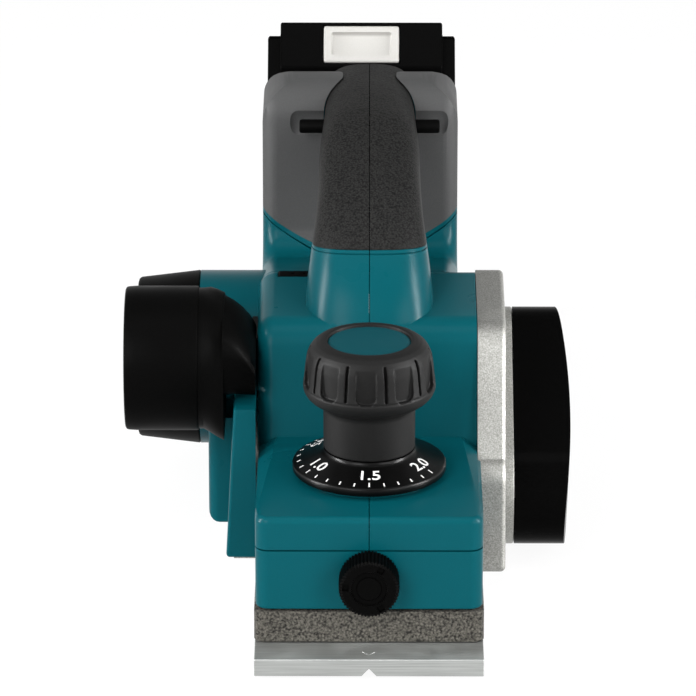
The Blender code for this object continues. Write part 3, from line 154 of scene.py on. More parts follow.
# the output: one shader for ordinary rays, the other for those that see the backdrop
def mixUp(tree, kind, share, first, second):
    mix = addNode(tree, "ShaderNodeMixShader")
    out = addNode(tree, kind)
    link(tree, share, mix.inputs["Fac"])
    link(tree, first.outputs[0], mix.inputs[1])
    link(tree, second.outputs[0], mix.inputs[2])
    link(tree, mix.outputs[0], out.inputs["Surface"])


def makeFloor():
    bpy.ops.object.select_all(action="DESELECT")
    bpy.ops.mesh.primitive_circle_add(vertices=96, radius=floorSet["radius"], fill_type="NGON",
                                      location=(0, 0, -floorSet["drop"]))
    floor = bpy.context.object
    floor.name = "studioFloor"
    material = bpy.data.materials.new("floorWhite")
    material.use_nodes = True
    tree = material.node_tree
    tree.nodes.clear()
    grey = floorSet["grey"]
    matt = addNode(tree, "ShaderNodeBsdfDiffuse", {"Color": (grey, grey, grey, 1)})
    glow = addNode(tree, "ShaderNodeEmission", {"Color": (1, 1, 1, 1), "Strength": floorSet["glow"]})
    dim = addNode(tree, "ShaderNodeMath", operation="MULTIPLY")
    dim.inputs[1].default_value = floorSet["share"]
    link(tree, backdropRays(tree), dim.inputs[0])
    mixUp(tree, "ShaderNodeOutputMaterial", dim.outputs[0], matt, glow)
    floor.data.materials.append(material)


bpy.context.scene.view_settings.view_transform = "Standard"
makeCamera()
makeLamps()
makeWorld()
makeFloor()
print("camera, lamps and floor made")


# ---- shader groups that several materials share
def shaderGroup(name, inputs, outputs):
    group = bpy.data.node_groups.new(name, "ShaderNodeTree")
    for label, kind, value in inputs:
        socket = group.interface.new_socket(label, in_out="INPUT", socket_type=kind)
        if value is not None:
            socket.default_value = value
    for label in outputs:
        group.interface.new_socket(label, in_out="OUTPUT", socket_type="NodeSocketFloat")
    return group, group.nodes.new("NodeGroupInput"), group.nodes.new("NodeGroupOutput")


# fine moulded or blasted texture: soft noise with a share of raised cells
def makeGrainGroup():
    group, start, end = shaderGroup(
        "surfaceGrain",
        [("Place", "NodeSocketVector", None), ("Scale", "NodeSocketFloat", 2000.0),
         ("Cells", "NodeSocketFloat", 0.3)],
        ["Height", "Speckle"])
    noise = addNode(group, "ShaderNodeTexNoise", {"Detail": 2.0, "Roughness": 0.6})
    cells = addNode(group, "ShaderNodeTexVoronoi", feature="SMOOTH_F1")
    for texture in (noise, cells):
        link(group, start.outputs["Place"], texture.inputs["Vector"])
        link(group, start.outputs["Scale"], texture.inputs["Scale"])
    mix = addNode(group, "ShaderNodeMix")
    link(group, start.outputs["Cells"], mix.inputs["Factor"])
    link(group, noise.outputs["Fac"], mix.inputs["A"])
    invert = addNode(group, "ShaderNodeMath", operation="SUBTRACT")
    invert.inputs[0].default_value = 1.0
    link(group, cells.outputs["Distance"], invert.inputs[1])
    link(group, invert.outputs[0], mix.inputs["B"])
    link(group, mix.outputs["Result"], end.inputs["Height"])
    sharp = addNode(group, "ShaderNodeMapRange", {"From Min": 0.38, "From Max": 0.72})
    link(group, mix.outputs["Result"], sharp.inputs["Value"])
    link(group, sharp.outputs["Result"], end.inputs["Speckle"])
    return group


# slow changes over centimetres: flow marks in a moulding, fingerprints, uneven finish
def makeClouds():
    group, start, end = shaderGroup(
        "slowClouds", [("Place", "NodeSocketVector", None), ("Scale", "NodeSocketFloat", 40.0)], ["Cloud"])
    noise = addNode(group, "ShaderNodeTexNoise", {"Detail": 3.0, "Roughness": 0.55, "Distortion": 0.4})
    link(group, start.outputs["Place"], noise.inputs["Vector"])
    link(group, start.outputs["Scale"], noise.inputs["Scale"])
    spread = addNode(group, "ShaderNodeMapRange", {"From Min": 0.3, "From Max": 0.7})
    link(group, noise.outputs["Fac"], spread.inputs["Value"])
    link(group, spread.outputs["Result"], end.inputs["Cloud"])
    return group


# long fine scratches along one axis, as milling and turning leave
def makeToolMarks():
    group, start, end = shaderGroup(
        "toolMarks",
        [("Place", "NodeSocketVector", None), ("Stretch", "NodeSocketVector", (60.0, 4000.0, 4000.0))],
        ["Height", "Streak"])
    spread = addNode(group, "ShaderNodeVectorMath", operation="MULTIPLY")
    noise = addNode(group, "ShaderNodeTexNoise", {"Scale": 1.0, "Detail": 2.0, "Roughness": 0.5})
    link(group, start.outputs["Place"], spread.inputs[0])
    link(group, start.outputs["Stretch"], spread.inputs[1])
    link(group, spread.outputs[0], noise.inputs["Vector"])
    link(group, noise.outputs["Fac"], end.inputs["Height"])
    sharp = addNode(group, "ShaderNodeMapRange", {"From Min": 0.35, "From Max": 0.65})
    link(group, noise.outputs["Fac"], sharp.inputs["Value"])
    link(group, sharp.outputs["Result"], end.inputs["Streak"])
    return group


grainGroup = makeGrainGroup()
cloudGroup = makeClouds()
markGroup = makeToolMarks()


def useGroup(tree, group, place, values):
    node = addNode(tree, "ShaderNodeGroup", node_tree=group)
    for label, value in values.items():
        node.inputs[label].default_value = value
    link(tree, place, node.inputs["Place"])
    return node


# colour follows the pattern's mask, roughness the slow clouds, and the pattern's height gives the bump
def paint(name, dark, light, rough, depth, metallic, level, clouds, group, mask, values):
    material = bpy.data.materials.new(name)
    material.use_nodes = True
    tree = material.node_tree
    shader = tree.nodes["Principled BSDF"]
    shader.inputs["Metallic"].default_value = metallic
    shader.inputs["Specular IOR Level"].default_value = level
    place = addNode(tree, "ShaderNodeTexCoord").outputs["Object"]
    pattern = useGroup(tree, group, place, values)
    cloud = useGroup(tree, cloudGroup, place, {"Scale": clouds})
    mix = addNode(tree, "ShaderNodeMix", data_type="RGBA")
    mix.inputs["A"].default_value = (*dark, 1)
    mix.inputs["B"].default_value = (*light, 1)
    link(tree, pattern.outputs[mask], mix.inputs["Factor"])
    link(tree, mix.outputs["Result"], shader.inputs["Base Color"])
    spread = addNode(tree, "ShaderNodeMapRange", {"To Min": rough[0], "To Max": rough[1]})
    link(tree, cloud.outputs["Cloud"], spread.inputs["Value"])
    link(tree, spread.outputs["Result"], shader.inputs["Roughness"])
    bump = addNode(tree, "ShaderNodeBump", {"Strength": 1.0, "Distance": depth})
    link(tree, pattern.outputs["Height"], bump.inputs["Height"])
    link(tree, bump.outputs["Normal"], shader.inputs["Normal"])
    return material


grainSet = {
    # moulded plastic, rubber, foam or blasted metal:
    # (dark colour, light colour, roughness from and to, grains to a metre, bump depth, raised cells,
    #  metallic, specular level)
    "tealShell": ((0.0008, 0.072, 0.0895), (0.0012, 0.080, 0.0995), (0.27, 0.33),
                  2600, 0.000012, 0.2, 0, 0.06),
    "tealCap": ((0.0008, 0.055, 0.070), (0.0012, 0.062, 0.078), (0.42, 0.5), 3000, 0.00001, 0.2, 0, 0.05),
    "blackShell": ((0.0014, 0.0014, 0.0014), (0.0024, 0.0024, 0.0023), (0.38, 0.48),
                   2800, 0.00001, 0.2, 0, 0.018),
    "glossBlack": ((0.0016, 0.0016, 0.0016), (0.0024, 0.0024, 0.0024), (0.16, 0.24),
                   1500, 0.000003, 0.1, 0, 0.012),
    "dialBlack": ((0.0012, 0.0012, 0.0012), (0.002, 0.002, 0.002), (0.28, 0.36),
                  2600, 0.000006, 0.2, 0, 0.12),
    "knobRubber": ((0.0055, 0.0055, 0.0055), (0.0085, 0.0083, 0.0081), (0.5, 0.6),
                   2600, 0.00002, 0.3, 0, 0.12),
    "handleLeather": ((0.008, 0.008, 0.008), (0.027, 0.027, 0.026), (0.42, 0.55),
                      1500, 0.00011, 0.6, 0, 0.04),
    "bandElastomer": ((0.062, 0.0625, 0.063), (0.073, 0.0735, 0.074), (0.5, 0.6),
                      2400, 0.00002, 0.25, 0, 0.12),
    "foamOpen": ((0.012, 0.0115, 0.010), (0.155, 0.145, 0.124), (0.85, 0.95), 1150, 0.0005, 0.35, 0, 0.2),
    "castBlasted": ((0.22, 0.22, 0.205), (0.42, 0.42, 0.40), (0.42, 0.55), 1900, 0.00009, 0.25, 1, 0.5),
    "beltRubber": ((0.006, 0.006, 0.006), (0.012, 0.012, 0.012), (0.7, 0.8), 1800, 0.00004, 0.3, 0, 0.3),
    "buttonGrey": ((0.50, 0.49, 0.465), (0.54, 0.53, 0.51), (0.42, 0.5), 2600, 0.00001, 0.2, 0, 0.4),
    "cellGreen": ((0.07, 0.17, 0.07), (0.10, 0.22, 0.10), (0.3, 0.4), 1200, 0.00001, 0.2, 0, 0.5),
    "scaleWhite": ((0.80, 0.80, 0.79), (0.86, 0.86, 0.85), (0.5, 0.6), 2600, 0.000005, 0.2, 0, 0.3),
    "boardGreen": ((0.01, 0.05, 0.02), (0.015, 0.07, 0.03), (0.4, 0.5), 900, 0.0001, 0.5, 0, 0.4),
}
alongX = (40.0, 3500.0, 3500.0)
alongY = (3500.0, 40.0, 3500.0)
markSet = {
    # machined metal: (dark colour, light colour, roughness from and to, marks to a metre along X, Y and Z,
    #  bump depth)
    "milledSole": ((0.33, 0.34, 0.33), (0.42, 0.43, 0.42), (0.48, 0.58), alongX, 0.000012),
    "drumCast": ((0.30, 0.30, 0.29), (0.44, 0.44, 0.43), (0.3, 0.42), alongX, 0.00002),
    "groundSteel": ((0.42, 0.42, 0.42), (0.56, 0.56, 0.55), (0.2, 0.32), alongX, 0.000008),
    "bladeSteel": ((0.50, 0.50, 0.49), (0.66, 0.66, 0.65), (0.14, 0.24), alongY, 0.000006),
    "darkScrew": ((0.10, 0.10, 0.10), (0.18, 0.18, 0.175), (0.35, 0.45), (900.0, 900.0, 900.0), 0.00001),
    "windings": ((0.42, 0.16, 0.07), (0.72, 0.34, 0.17), (0.3, 0.4), (1600.0, 80.0, 80.0), 0.0002),
}
paints = {}
for name, (dark, light, rough, scale, depth, cells, metallic, level) in grainSet.items():
    paints[name] = paint(name, dark, light, rough, depth, metallic, level, 40.0, grainGroup, "Speckle",
                         {"Scale": scale, "Cells": cells})
for name, (dark, light, rough, stretch, depth) in markSet.items():
    paints[name] = paint(name, dark, light, rough, depth, 1, 0.5, 60.0, markGroup, "Streak",
                         {"Stretch": stretch})

nodePaints = {
    "tealShell": ["housing_right", "housing_left", "front_cover", "side_cover"],
    "tealCap": ["knob_cap"],
    "blackShell": ["chip_duct", "chip_nozzle", "motor_end_cap", "lock_off_bar", "switch_body",
                   "terminal_block", "status_panel", "cooling_fan", "battery_case", "belt_cover",
                   "thumb_screw"],
    "dialBlack": ["depth_dial"],
    "knobRubber": ["knob_grip"],
    "handleLeather": ["grip_right", "grip_left", "trigger"],
    "bandElastomer": ["rear_grip_right", "rear_grip_left"],
    "foamOpen": ["foam_seal"],
    "castBlasted": ["drum_frame"],
    "milledSole": ["front_base", "rear_base"],
    "drumCast": ["cutter_drum", "blade_clamp_1", "blade_clamp_2"],
    "bladeSteel": ["blade_1", "blade_2"],
    "groundSteel": ["guide_pin_left", "guide_pin_right", "depth_screw", "drum_pulley", "motor_pulley",
                    "motor_shaft", "rotor_core", "motor_bearing_outer", "motor_bearing_inner",
                    "drum_bearing_left", "drum_bearing_right"],
    "darkScrew": ["belt_cover_screw_1", "belt_cover_screw_2", "housing_screw_1", "housing_screw_2",
                  "housing_screw_3", "housing_screw_4"],
    "windings": ["motor_stator"],
    "beltRubber": ["drive_belt"],
    "buttonGrey": ["battery_button"],
    "cellGreen": ["battery_cells"],
    "boardGreen": ["controller"],
}
for material, names in nodePaints.items():
    for name in names:
        nodes[name].data.materials.clear()
        nodes[name].data.materials.append(paints[material])
print("materials made")


# ---- modelling helpers
def pick(*pieces):
    if bpy.context.object and bpy.context.object.mode != "OBJECT":
        bpy.ops.object.mode_set(mode="OBJECT")
    bpy.ops.object.select_all(action="DESELECT")
    for piece in pieces:
        piece.select_set(True)
    bpy.context.view_layer.objects.active = pieces[0]


def settle(piece, name=None):
    pick(piece)
    bpy.ops.object.transform_apply(location=True, rotation=True, scale=True)
    if name:
        piece.name = name
        piece.data.name = name
    return piece


def put(piece, place, name=None):
    piece.matrix_world = place
    return settle(piece, name)


def turned(degrees, axis):
    return Matrix.Rotation(math.radians(degrees), 4, axis)


def middleOf(low, high):
    return [(a + b) / 2 for a, b in zip(low, high)]


def addBox(name, low, high):
    bpy.ops.object.select_all(action="DESELECT")
    size = [b - a for a, b in zip(low, high)]
    bpy.ops.mesh.primitive_cube_add(size=1, location=middleOf(low, high), scale=size)
    return settle(bpy.context.object, name)


def addRod(name, start, end, radius, sides=64):
    bpy.ops.object.select_all(action="DESELECT")
    start = Vector(start)
    along = Vector(end) - start
    bpy.ops.mesh.primitive_cone_add(
        vertices=sides, radius1=radius, radius2=radius, depth=along.length, location=start + along / 2,
        rotation=along.to_track_quat("Z", "Y").to_euler())
    return settle(bpy.context.object, name)


def rodX(name, y, z, low, high, radius, sides=40):
    return addRod(name, (low, y, z), (high, y, z), radius, sides)


# choose edges or faces by a test on their corner points, and go to edit mode
def choose(piece, kind, test):
    pick(piece)
    bpy.ops.object.mode_set(mode="EDIT")
    bpy.ops.mesh.select_mode(type=kind)
    bpy.ops.mesh.select_all(action="DESELECT")
    bpy.ops.object.mode_set(mode="OBJECT")
    mesh = piece.data
    for part in (mesh.edges if kind == "EDGE" else mesh.polygons):
        if test([mesh.vertices[i].co for i in part.vertices]):
            part.select = True
    bpy.ops.object.mode_set(mode="EDIT")


def editAll(piece):
    pick(piece)
    bpy.ops.object.mode_set(mode="EDIT")
    bpy.ops.mesh.select_all(action="SELECT")


def editDone():
    bpy.ops.object.mode_set(mode="OBJECT")


def mergePoints():
    bpy.ops.mesh.remove_doubles(threshold=0.00001)


def roundEdges(piece, width, segments=4, test=None):
    choose(piece, "EDGE", test or (lambda points: True))
    bpy.ops.mesh.bevel(offset=width, offset_type="OFFSET", segments=segments, profile=0.5, affect="EDGES")
    editDone()
    return piece


def applyAll(piece):
    pick(piece)
    for modifier in list(piece.modifiers):
        bpy.ops.object.modifier_apply(modifier=modifier.name)
    return piece


# every edge sharper than the angle
def softenEdges(piece, width, segments, degrees):
    edge = piece.modifiers.new("edge", "BEVEL")
    edge.width = width
    edge.segments = segments
    edge.angle_limit = math.radians(degrees)
    return applyAll(piece)


def combine(target, tools, operation):
    for tool in tools:
        step = target.modifiers.new(operation, "BOOLEAN")
        step.operation = operation
        step.object = tool
        step.solver = "EXACT"
    applyAll(target)
    for tool in tools:
        bpy.data.objects.remove(tool, do_unlink=True)
    return target


def weld(target, *tools):
    return combine(target, tools, "UNION")


def carve(target, *tools):
    return combine(target, tools, "DIFFERENCE")


def keepOnly(target, tool):
    return combine(target, [tool], "INTERSECT")


# the left or the right of the middle seam
def keepHalf(piece, side):
    low, high = (-far, -seam / 2) if side < 0 else (seam / 2, far)
    return keepOnly(piece, addBox("half", (low, -far, -far), (high, far, far)))


# one skin over everything, like a moulding: remeshed and softened, with a share of its faces kept
def mould(piece, voxel, rounds, keep):
    skin = piece.modifiers.new("skin", "REMESH")
    skin.mode = "VOXEL"
    skin.voxel_size = voxel
    soft = piece.modifiers.new("soft", "SMOOTH")
    soft.factor = 0.5
    soft.iterations = rounds
    fewer = piece.modifiers.new("fewer", "DECIMATE")
    fewer.ratio = keep
    return applyAll(piece)


def smoothShade(piece, angle):
    pick(piece)
    bpy.ops.object.shade_smooth_by_angle(angle=math.radians(angle))
    return piece


# smooth round the bends while the flat faces stay flat
def steady(piece, angle=35):
    smoothShade(piece, angle)
    flat = piece.modifiers.new("flat", "WEIGHTED_NORMAL")
    flat.keep_sharp = True
    flat.weight = 80
    return piece


def copyOf(piece, name):
    twin = piece.copy()
    twin.data = piece.data.copy()
    twin.name = name
    bpy.context.scene.collection.objects.link(twin)
    return twin


# a copy of a carried-over piece, its loose triangles joined into whole faces
def joinedCopy(node, name):
    piece = copyOf(nodes[node], name)
    editAll(piece)
    mergePoints()
    bpy.ops.mesh.dissolve_limited(angle_limit=0.01)
    editDone()
    return piece


# (a, b, radius) corners to points, the round ones as arcs
def roundCorners(corners, steps=6):
    made = []
    for i, (a, b, radius) in enumerate(corners):
        here = Vector((a, b))
        before = Vector(corners[i - 1][:2])
        after = Vector(corners[(i + 1) % len(corners)][:2])
        back = (before - here).normalized()
        ahead = (after - here).normalized()
        half = back.angle(ahead) / 2
        if radius < 0.00005 or half > math.radians(88):
            made.append(here)
            continue
        middle = here + (back + ahead).normalized() * radius / math.sin(half)
        first = here + back * radius / math.tan(half) - middle
        sweep = first.angle_signed(here + ahead * radius / math.tan(half) - middle)
        for step in range(steps + 1):
            made.append(middle + Matrix.Rotation(-sweep * step / steps, 2) @ first)
    return made


# the same (a, b, radius) corners with every side moved in
def insetCorners(corners, by):
    made = []
    points = [Vector((a, b)) for a, b, radius in corners]
    area = sum(p.x * q.y - q.x * p.y for p, q in zip(points, points[1:] + points[:1]))
    way = math.copysign(by, area)
    for i, here in enumerate(points):
        before = (here - points[i - 1]).normalized()
        after = (points[(i + 1) % len(points)] - here).normalized()
        normal = Vector((-before.y - after.y, before.x + after.x)).normalized()
        lean = max(normal.dot(Vector((-before.y, before.x))), 0.2)
        moved = here + normal * way / lean
        made.append((moved.x, moved.y, max(corners[i][2] - by, 0.0)))
    return made


def fromLip(corners):
    return [(lipY + y, z, radius) for y, z, radius in corners]


def curveMesh(name, points, closed, thickness=0.0):
    curve = bpy.data.curves.new(name, "CURVE")
    curve.dimensions = "2D" if closed else "3D"
    if closed:
        curve.fill_mode = "BOTH"
        curve.extrude = thickness / 2
    line = curve.splines.new("POLY")
    line.points.add(len(points) - 1)
    line.use_cyclic_u = closed
    for point, place in zip(line.points, points):
        place = tuple(place) + (0.0,) * (3 - len(place))
        point.co = (*place, 1.0)
    piece = bpy.data.objects.new(name, curve)
    bpy.context.scene.collection.objects.link(piece)
    pick(piece)
    bpy.ops.object.convert(target="MESH")
    return bpy.context.object


# a side outline of (y, z) points with a thickness along X
def addSlab(name, outline, low, high):
    piece = curveMesh(name, outline, True, high - low)
    editAll(piece)
    mergePoints()
    bpy.ops.mesh.dissolve_limited(angle_limit=0.002)
    bpy.ops.mesh.normals_make_consistent(inside=False)
    editDone()
    return put(piece, Matrix(((0, 0, 1, (low + high) / 2), (1, 0, 0, 0), (0, 1, 0, 0), (0, 0, 0, 1))), name)


# an (r, h) profile spun round an axis through the foot
def turn(name, profile, foot, axis=(0, 0, 1), steps=96):
    piece = curveMesh(name, [(r, 0.0, h) for r, h in profile], False)
    editAll(piece)
    bpy.ops.mesh.spin(steps=steps, angle=2 * math.pi, center=(0, 0, 0), axis=(0, 0, 1))
    bpy.ops.mesh.select_all(action="SELECT")
    mergePoints()
    bpy.ops.mesh.normals_make_consistent(inside=False)
    # spin leaves its faces in another order at each run, so they are sorted from a place off every axis
    bpy.context.scene.cursor.location = (0.123, 0.0457, -0.0311)
    bpy.ops.mesh.sort_elements(type="CURSOR_DISTANCE", elements={"FACE"})
    editDone()
    lean = Vector(axis).to_track_quat("Z", "Y").to_matrix().to_4x4()
    return put(piece, Matrix.Translation(foot) @ lean, name)


# skin over rings of points, made ring by ring
def loftRings(name, rings):
    shape = bmesh.new()
    loops = [[shape.verts.new(p) for p in ring] for ring in rings]
    for a, b in zip(loops, loops[1:]):
        for i in range(len(a)):
            j = (i + 1) % len(a)
            shape.faces.new((a[i], a[j], b[j], b[i]))
    shape.faces.new(list(reversed(loops[0])))
    shape.faces.new(loops[-1])
    bmesh.ops.recalc_face_normals(shape, faces=shape.faces)
    mesh = bpy.data.meshes.new(name)
    shape.to_mesh(mesh)
    shape.free()
    piece = bpy.data.objects.new(name, mesh)
    bpy.context.scene.collection.objects.link(piece)
    return piece


# a cosine or sine of a round outline, pushed out towards a square one
def squared(part, squareness):
    return math.copysign(abs(part) ** (2 / squareness), part)


def finishPiece(piece, material, body, slot, *replaced):
    piece.data.materials.clear()
    piece.data.materials.append(paints[material])
    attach(piece, body)
    if replaced:
        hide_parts(*replaced)
    return piece


# ---- depth knob: finger grip, teal cap, dial and its scale
knobSet = {
    "pads": 10, "padWidth": 0.0076, "padLength": 0.0148, "padCorner": 0.0024, "padDepth": 0.006,
    "slitWidth": 0.0011, "slitLength": 0.0138, "slitDepth": 0.0022, "firstPad": -3.0, "lean": 9.0,
    "padHeight": 0.0325, "padRadius": 0.0238, "skin": 0.00032, "rounds": 2, "keep": 0.4,
    # radius and height above the foot, mm, from the cap's ring down
    "grip": [(0.0, 40.6), (15.5, 40.6), (15.55, 41.7), (15.8, 41.95), (16.6, 42.0), (18.0, 41.75),
             (19.6, 41.1), (21.1, 39.9), (22.3, 38.2), (23.05, 36.2), (23.45, 33.8), (23.75, 30.8),
             (24.1, 27.6), (24.4, 25.6), (24.35, 25.35), (23.75, 25.2), (23.75, 24.75), (24.45, 24.6),
             (24.5, 24.1), (24.3, 22.9), (23.5, 21.2), (22.0, 19.6), (20.0, 18.3), (18.2, 17.3),
             (17.35, 16.4), (17.0, 15.2), (16.95, 0.25), (16.7, 0.0), (0.0, 0.0)],
    # how deep the pads reach, the same way
    "padFloor": [(0, 41.0), (21.0, 41.0), (22.3, 38.0), (22.6, 34.0), (22.45, 20.0), (22.4, 12.0), (0, 12.0)],
}
capSunk = 0.0018                 # the cap's top under the top of the knob's ring
dialSet = {
    "profile": [(4.4, 8.8), (16.9, 8.8), (17.0, 8.7), (17.1, 8.3), (17.45, 7.8), (18.1, 7.3), (19.1, 6.85),
                (27.5, 3.25), (27.9, 3.15), (28.3, 2.85), (28.5, 2.4), (28.5, 0.5), (28.3, 0.15), (28.0, 0.0),
                (4.4, 0.0), (4.4, 8.8)],
    # (radius, height) of the sloping face's outer and inner edge
    "slope": ((0.0275, 0.00325), (0.0191, 0.00685)),
    "step": 12.0, "ticks": 21, "frontTick": 15, "tickWidth": 0.00052, "proud": 0.00006,
    "longTick": (0.0251, 0.0270), "shortTick": (0.0256, 0.0270),
    "numbers": {"0": 0, "0.5": 5, "1.0": 10, "1.5": 15, "2.0": 20},
    "numberSize": 0.005796, "numberFoot": 0.0236, "numberWide": 1.3, "numberBold": 0.00007,
}
# the dial and knob stand this much higher, on a low seat of the casing
seatHeight = Vector((0, 0, 0.0015))
knobLow, knobHigh = (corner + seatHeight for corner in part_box("knob_grip"))
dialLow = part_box("depth_dial")[0] + seatHeight
capLow, capHigh = (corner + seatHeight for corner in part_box("knob_cap"))
knobY = (knobLow.y + knobHigh.y) / 2


def millimetres(points):
    return [(a / 1000, b / 1000) for a, b in points]


def joinAll(pieces):
    pick(*pieces)
    bpy.ops.object.join()
    return bpy.context.object


def padCutter(i, width, length, depth, corner=0.0):
    cutter = addBox("cutter", (-width / 2, -0.006, -length / 2), (width / 2, depth, length / 2))
    if corner:
        roundEdges(cutter, corner, 5, lambda points: abs(points[0].y - points[1].y) > 0.003)
    return put(cutter, Matrix.Translation((0, knobY, knobLow.z + knobSet["padHeight"]))
               @ turned(knobSet["firstPad"] + i * 360 / knobSet["pads"], "Z")
               @ Matrix.Translation((0, -knobSet["padRadius"], 0)) @ turned(-knobSet["lean"], "X"))


# shallow pads round the grip, with a narrow slit between each two
def makeKnob():
    foot = (0, knobY, knobLow.z)
    grip = turn("knobGrip", millimetres(knobSet["grip"]), foot, steps=160)
    floor = turn("padFloor", millimetres(knobSet["padFloor"]), foot, steps=160)
    pads = []
    slits = []
    for i in range(knobSet["pads"]):
        pads.append(padCutter(i, knobSet["padWidth"], knobSet["padLength"], knobSet["padDepth"],
                              knobSet["padCorner"]))
        slits.append(padCutter(i + 0.5, knobSet["slitWidth"], knobSet["slitLength"], knobSet["slitDepth"]))
    carve(grip, carve(joinAll(pads), floor), joinAll(slits))
    mould(grip, knobSet["skin"], knobSet["rounds"], knobSet["keep"])
    smoothShade(grip, 50)
    finishPiece(grip, "knobRubber", "depth_knob", "black_plastic", "knob_grip")


def makeCap():
    radius = (capHigh.x - capLow.x) / 2
    height = capHigh.z - capLow.z - capSunk
    profile = [(0.0, height), (radius * 0.5, height - 0.00005), (radius * 0.9, height - 0.00018),
               (radius - 0.0006, height - 0.0003), (radius - 0.0002, height - 0.0005),
               (radius, height - 0.0007), (radius, 0.0), (0.0, 0.0)]
    cap = turn("knobCap", profile, (0, knobY, capLow.z), steps=128)
    smoothShade(cap, 50)
    finishPiece(cap, "tealCap", "depth_knob", "teal_plastic", "knob_cap")


# height of the dial's sloping face above its foot, at a radius
def dialFace(radius):
    outer, inner = dialSet["slope"]
    share = (radius - outer[0]) / (inner[0] - outer[0])
    return outer[1] + share * (inner[1] - outer[1])


# bend a flat marking on to the dial at its tick: x runs round it, y towards its middle
def layOnDial(marking, tick, foot):
    angle = math.radians((tick - dialSet["frontTick"]) * dialSet["step"])
    for vertex in marking.data.vertices:
        x, y, z = vertex.co
        radius = foot - y
        around = angle + x / (foot - y * 0.5)
        vertex.co = (radius * math.sin(around), knobY - radius * math.cos(around),
                     dialLow.z + dialFace(radius) + z)
    return marking


def dialNumber(label):
    curve = bpy.data.curves.new("number", "FONT")
    curve.body = label
    curve.align_x = "CENTER"
    curve.size = dialSet["numberSize"]
    curve.extrude = dialSet["proud"]
    curve.offset = dialSet["numberBold"]
    text = bpy.data.objects.new("number", curve)
    bpy.context.scene.collection.objects.link(text)
    pick(text)
    bpy.ops.object.convert(target="MESH")
    text = bpy.context.object
    text.scale.x = dialSet["numberWide"]
    return settle(text)


def makeDial():
    dial = turn("depthDial", millimetres(dialSet["profile"]), (0, knobY, dialLow.z), steps=160)
    smoothShade(dial, 30)
    finishPiece(dial, "dialBlack", "depth_knob", "black_plastic", "depth_dial")
    markings = []
    half, proud = dialSet["tickWidth"] / 2, dialSet["proud"]
    for i in range(dialSet["ticks"]):
        inner, outer = dialSet["longTick"] if i % 5 == 0 else dialSet["shortTick"]
        markings.append(layOnDial(addBox("tick", (-half, 0, -proud), (half, outer - inner, proud)), i, outer))
    for label, tick in dialSet["numbers"].items():
        markings.append(layOnDial(dialNumber(label), tick, dialSet["numberFoot"]))
    scale = joinAll(markings)
    scale.name = "dialScale"
    finishPiece(scale, "scaleWhite", "depth_knob", "button_white")


# ---- knurled thumb screw in the front cover
thumbSet = {"teeth": 52, "toothDepth": 0.00062, "chamfer": 0.0007, "ring": 0.0021, "dip": 0.0009,
            "notches": (60, 185, 300), "notchFrom": 0.0074, "notchTo": 0.0098, "notchWidth": 0.0026,
            "shank": 0.003}


def makeThumbScrew():
    low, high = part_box("thumb_screw")
    z = (low.z + high.z) / 2
    face = low.y
    seat = blockFront - seam
    screw = addRod("thumbScrew", (0, seat, z), (0, face, z), (high.z - low.z) / 2, thumbSet["teeth"] * 2)
    for vertex in screw.data.vertices:
        if vertex.index % 4 >= 2:
            inward = Vector((vertex.co.x, 0, vertex.co.z - z)).normalized()
            vertex.co -= inward * thumbSet["toothDepth"]
    lift = thumbSet["chamfer"] * 0.7
    choose(screw, "FACE", lambda points: len(points) > 8 and points[0].y < face + 0.001)
    for thickness, depth in ((thumbSet["chamfer"], lift), (thumbSet["ring"], 0.0), (0.0004, -thumbSet["dip"]),
                             (0.0012, 0.0), (0.0003, 0.0004)):
        bpy.ops.mesh.inset(thickness=thickness, depth=depth)
    editDone()
    for vertex in screw.data.vertices:
        vertex.co.y = max(vertex.co.y + lift, face)
    cutters = []
    for angle in thumbSet["notches"]:
        notch = addBox("notch", (thumbSet["notchFrom"], -0.001, -thumbSet["notchWidth"] / 2),
                       (thumbSet["notchTo"], 0.0009, thumbSet["notchWidth"] / 2))
        cutters.append(put(notch, Matrix.Translation((0, face, z)) @ turned(angle, "Y")))
    weld(screw, addRod("shank", (0, seat - 0.002, z), (0, high.y, z), thumbSet["shank"], 32))
    carve(screw, *cutters)
    smoothShade(screw, 32)
    finishPiece(screw, "blackShell", "thumb_screw", "black_plastic", "thumb_screw")


makeKnob()
makeCap()
makeDial()
makeThumbScrew()
print("knob, dial and thumb screw made")


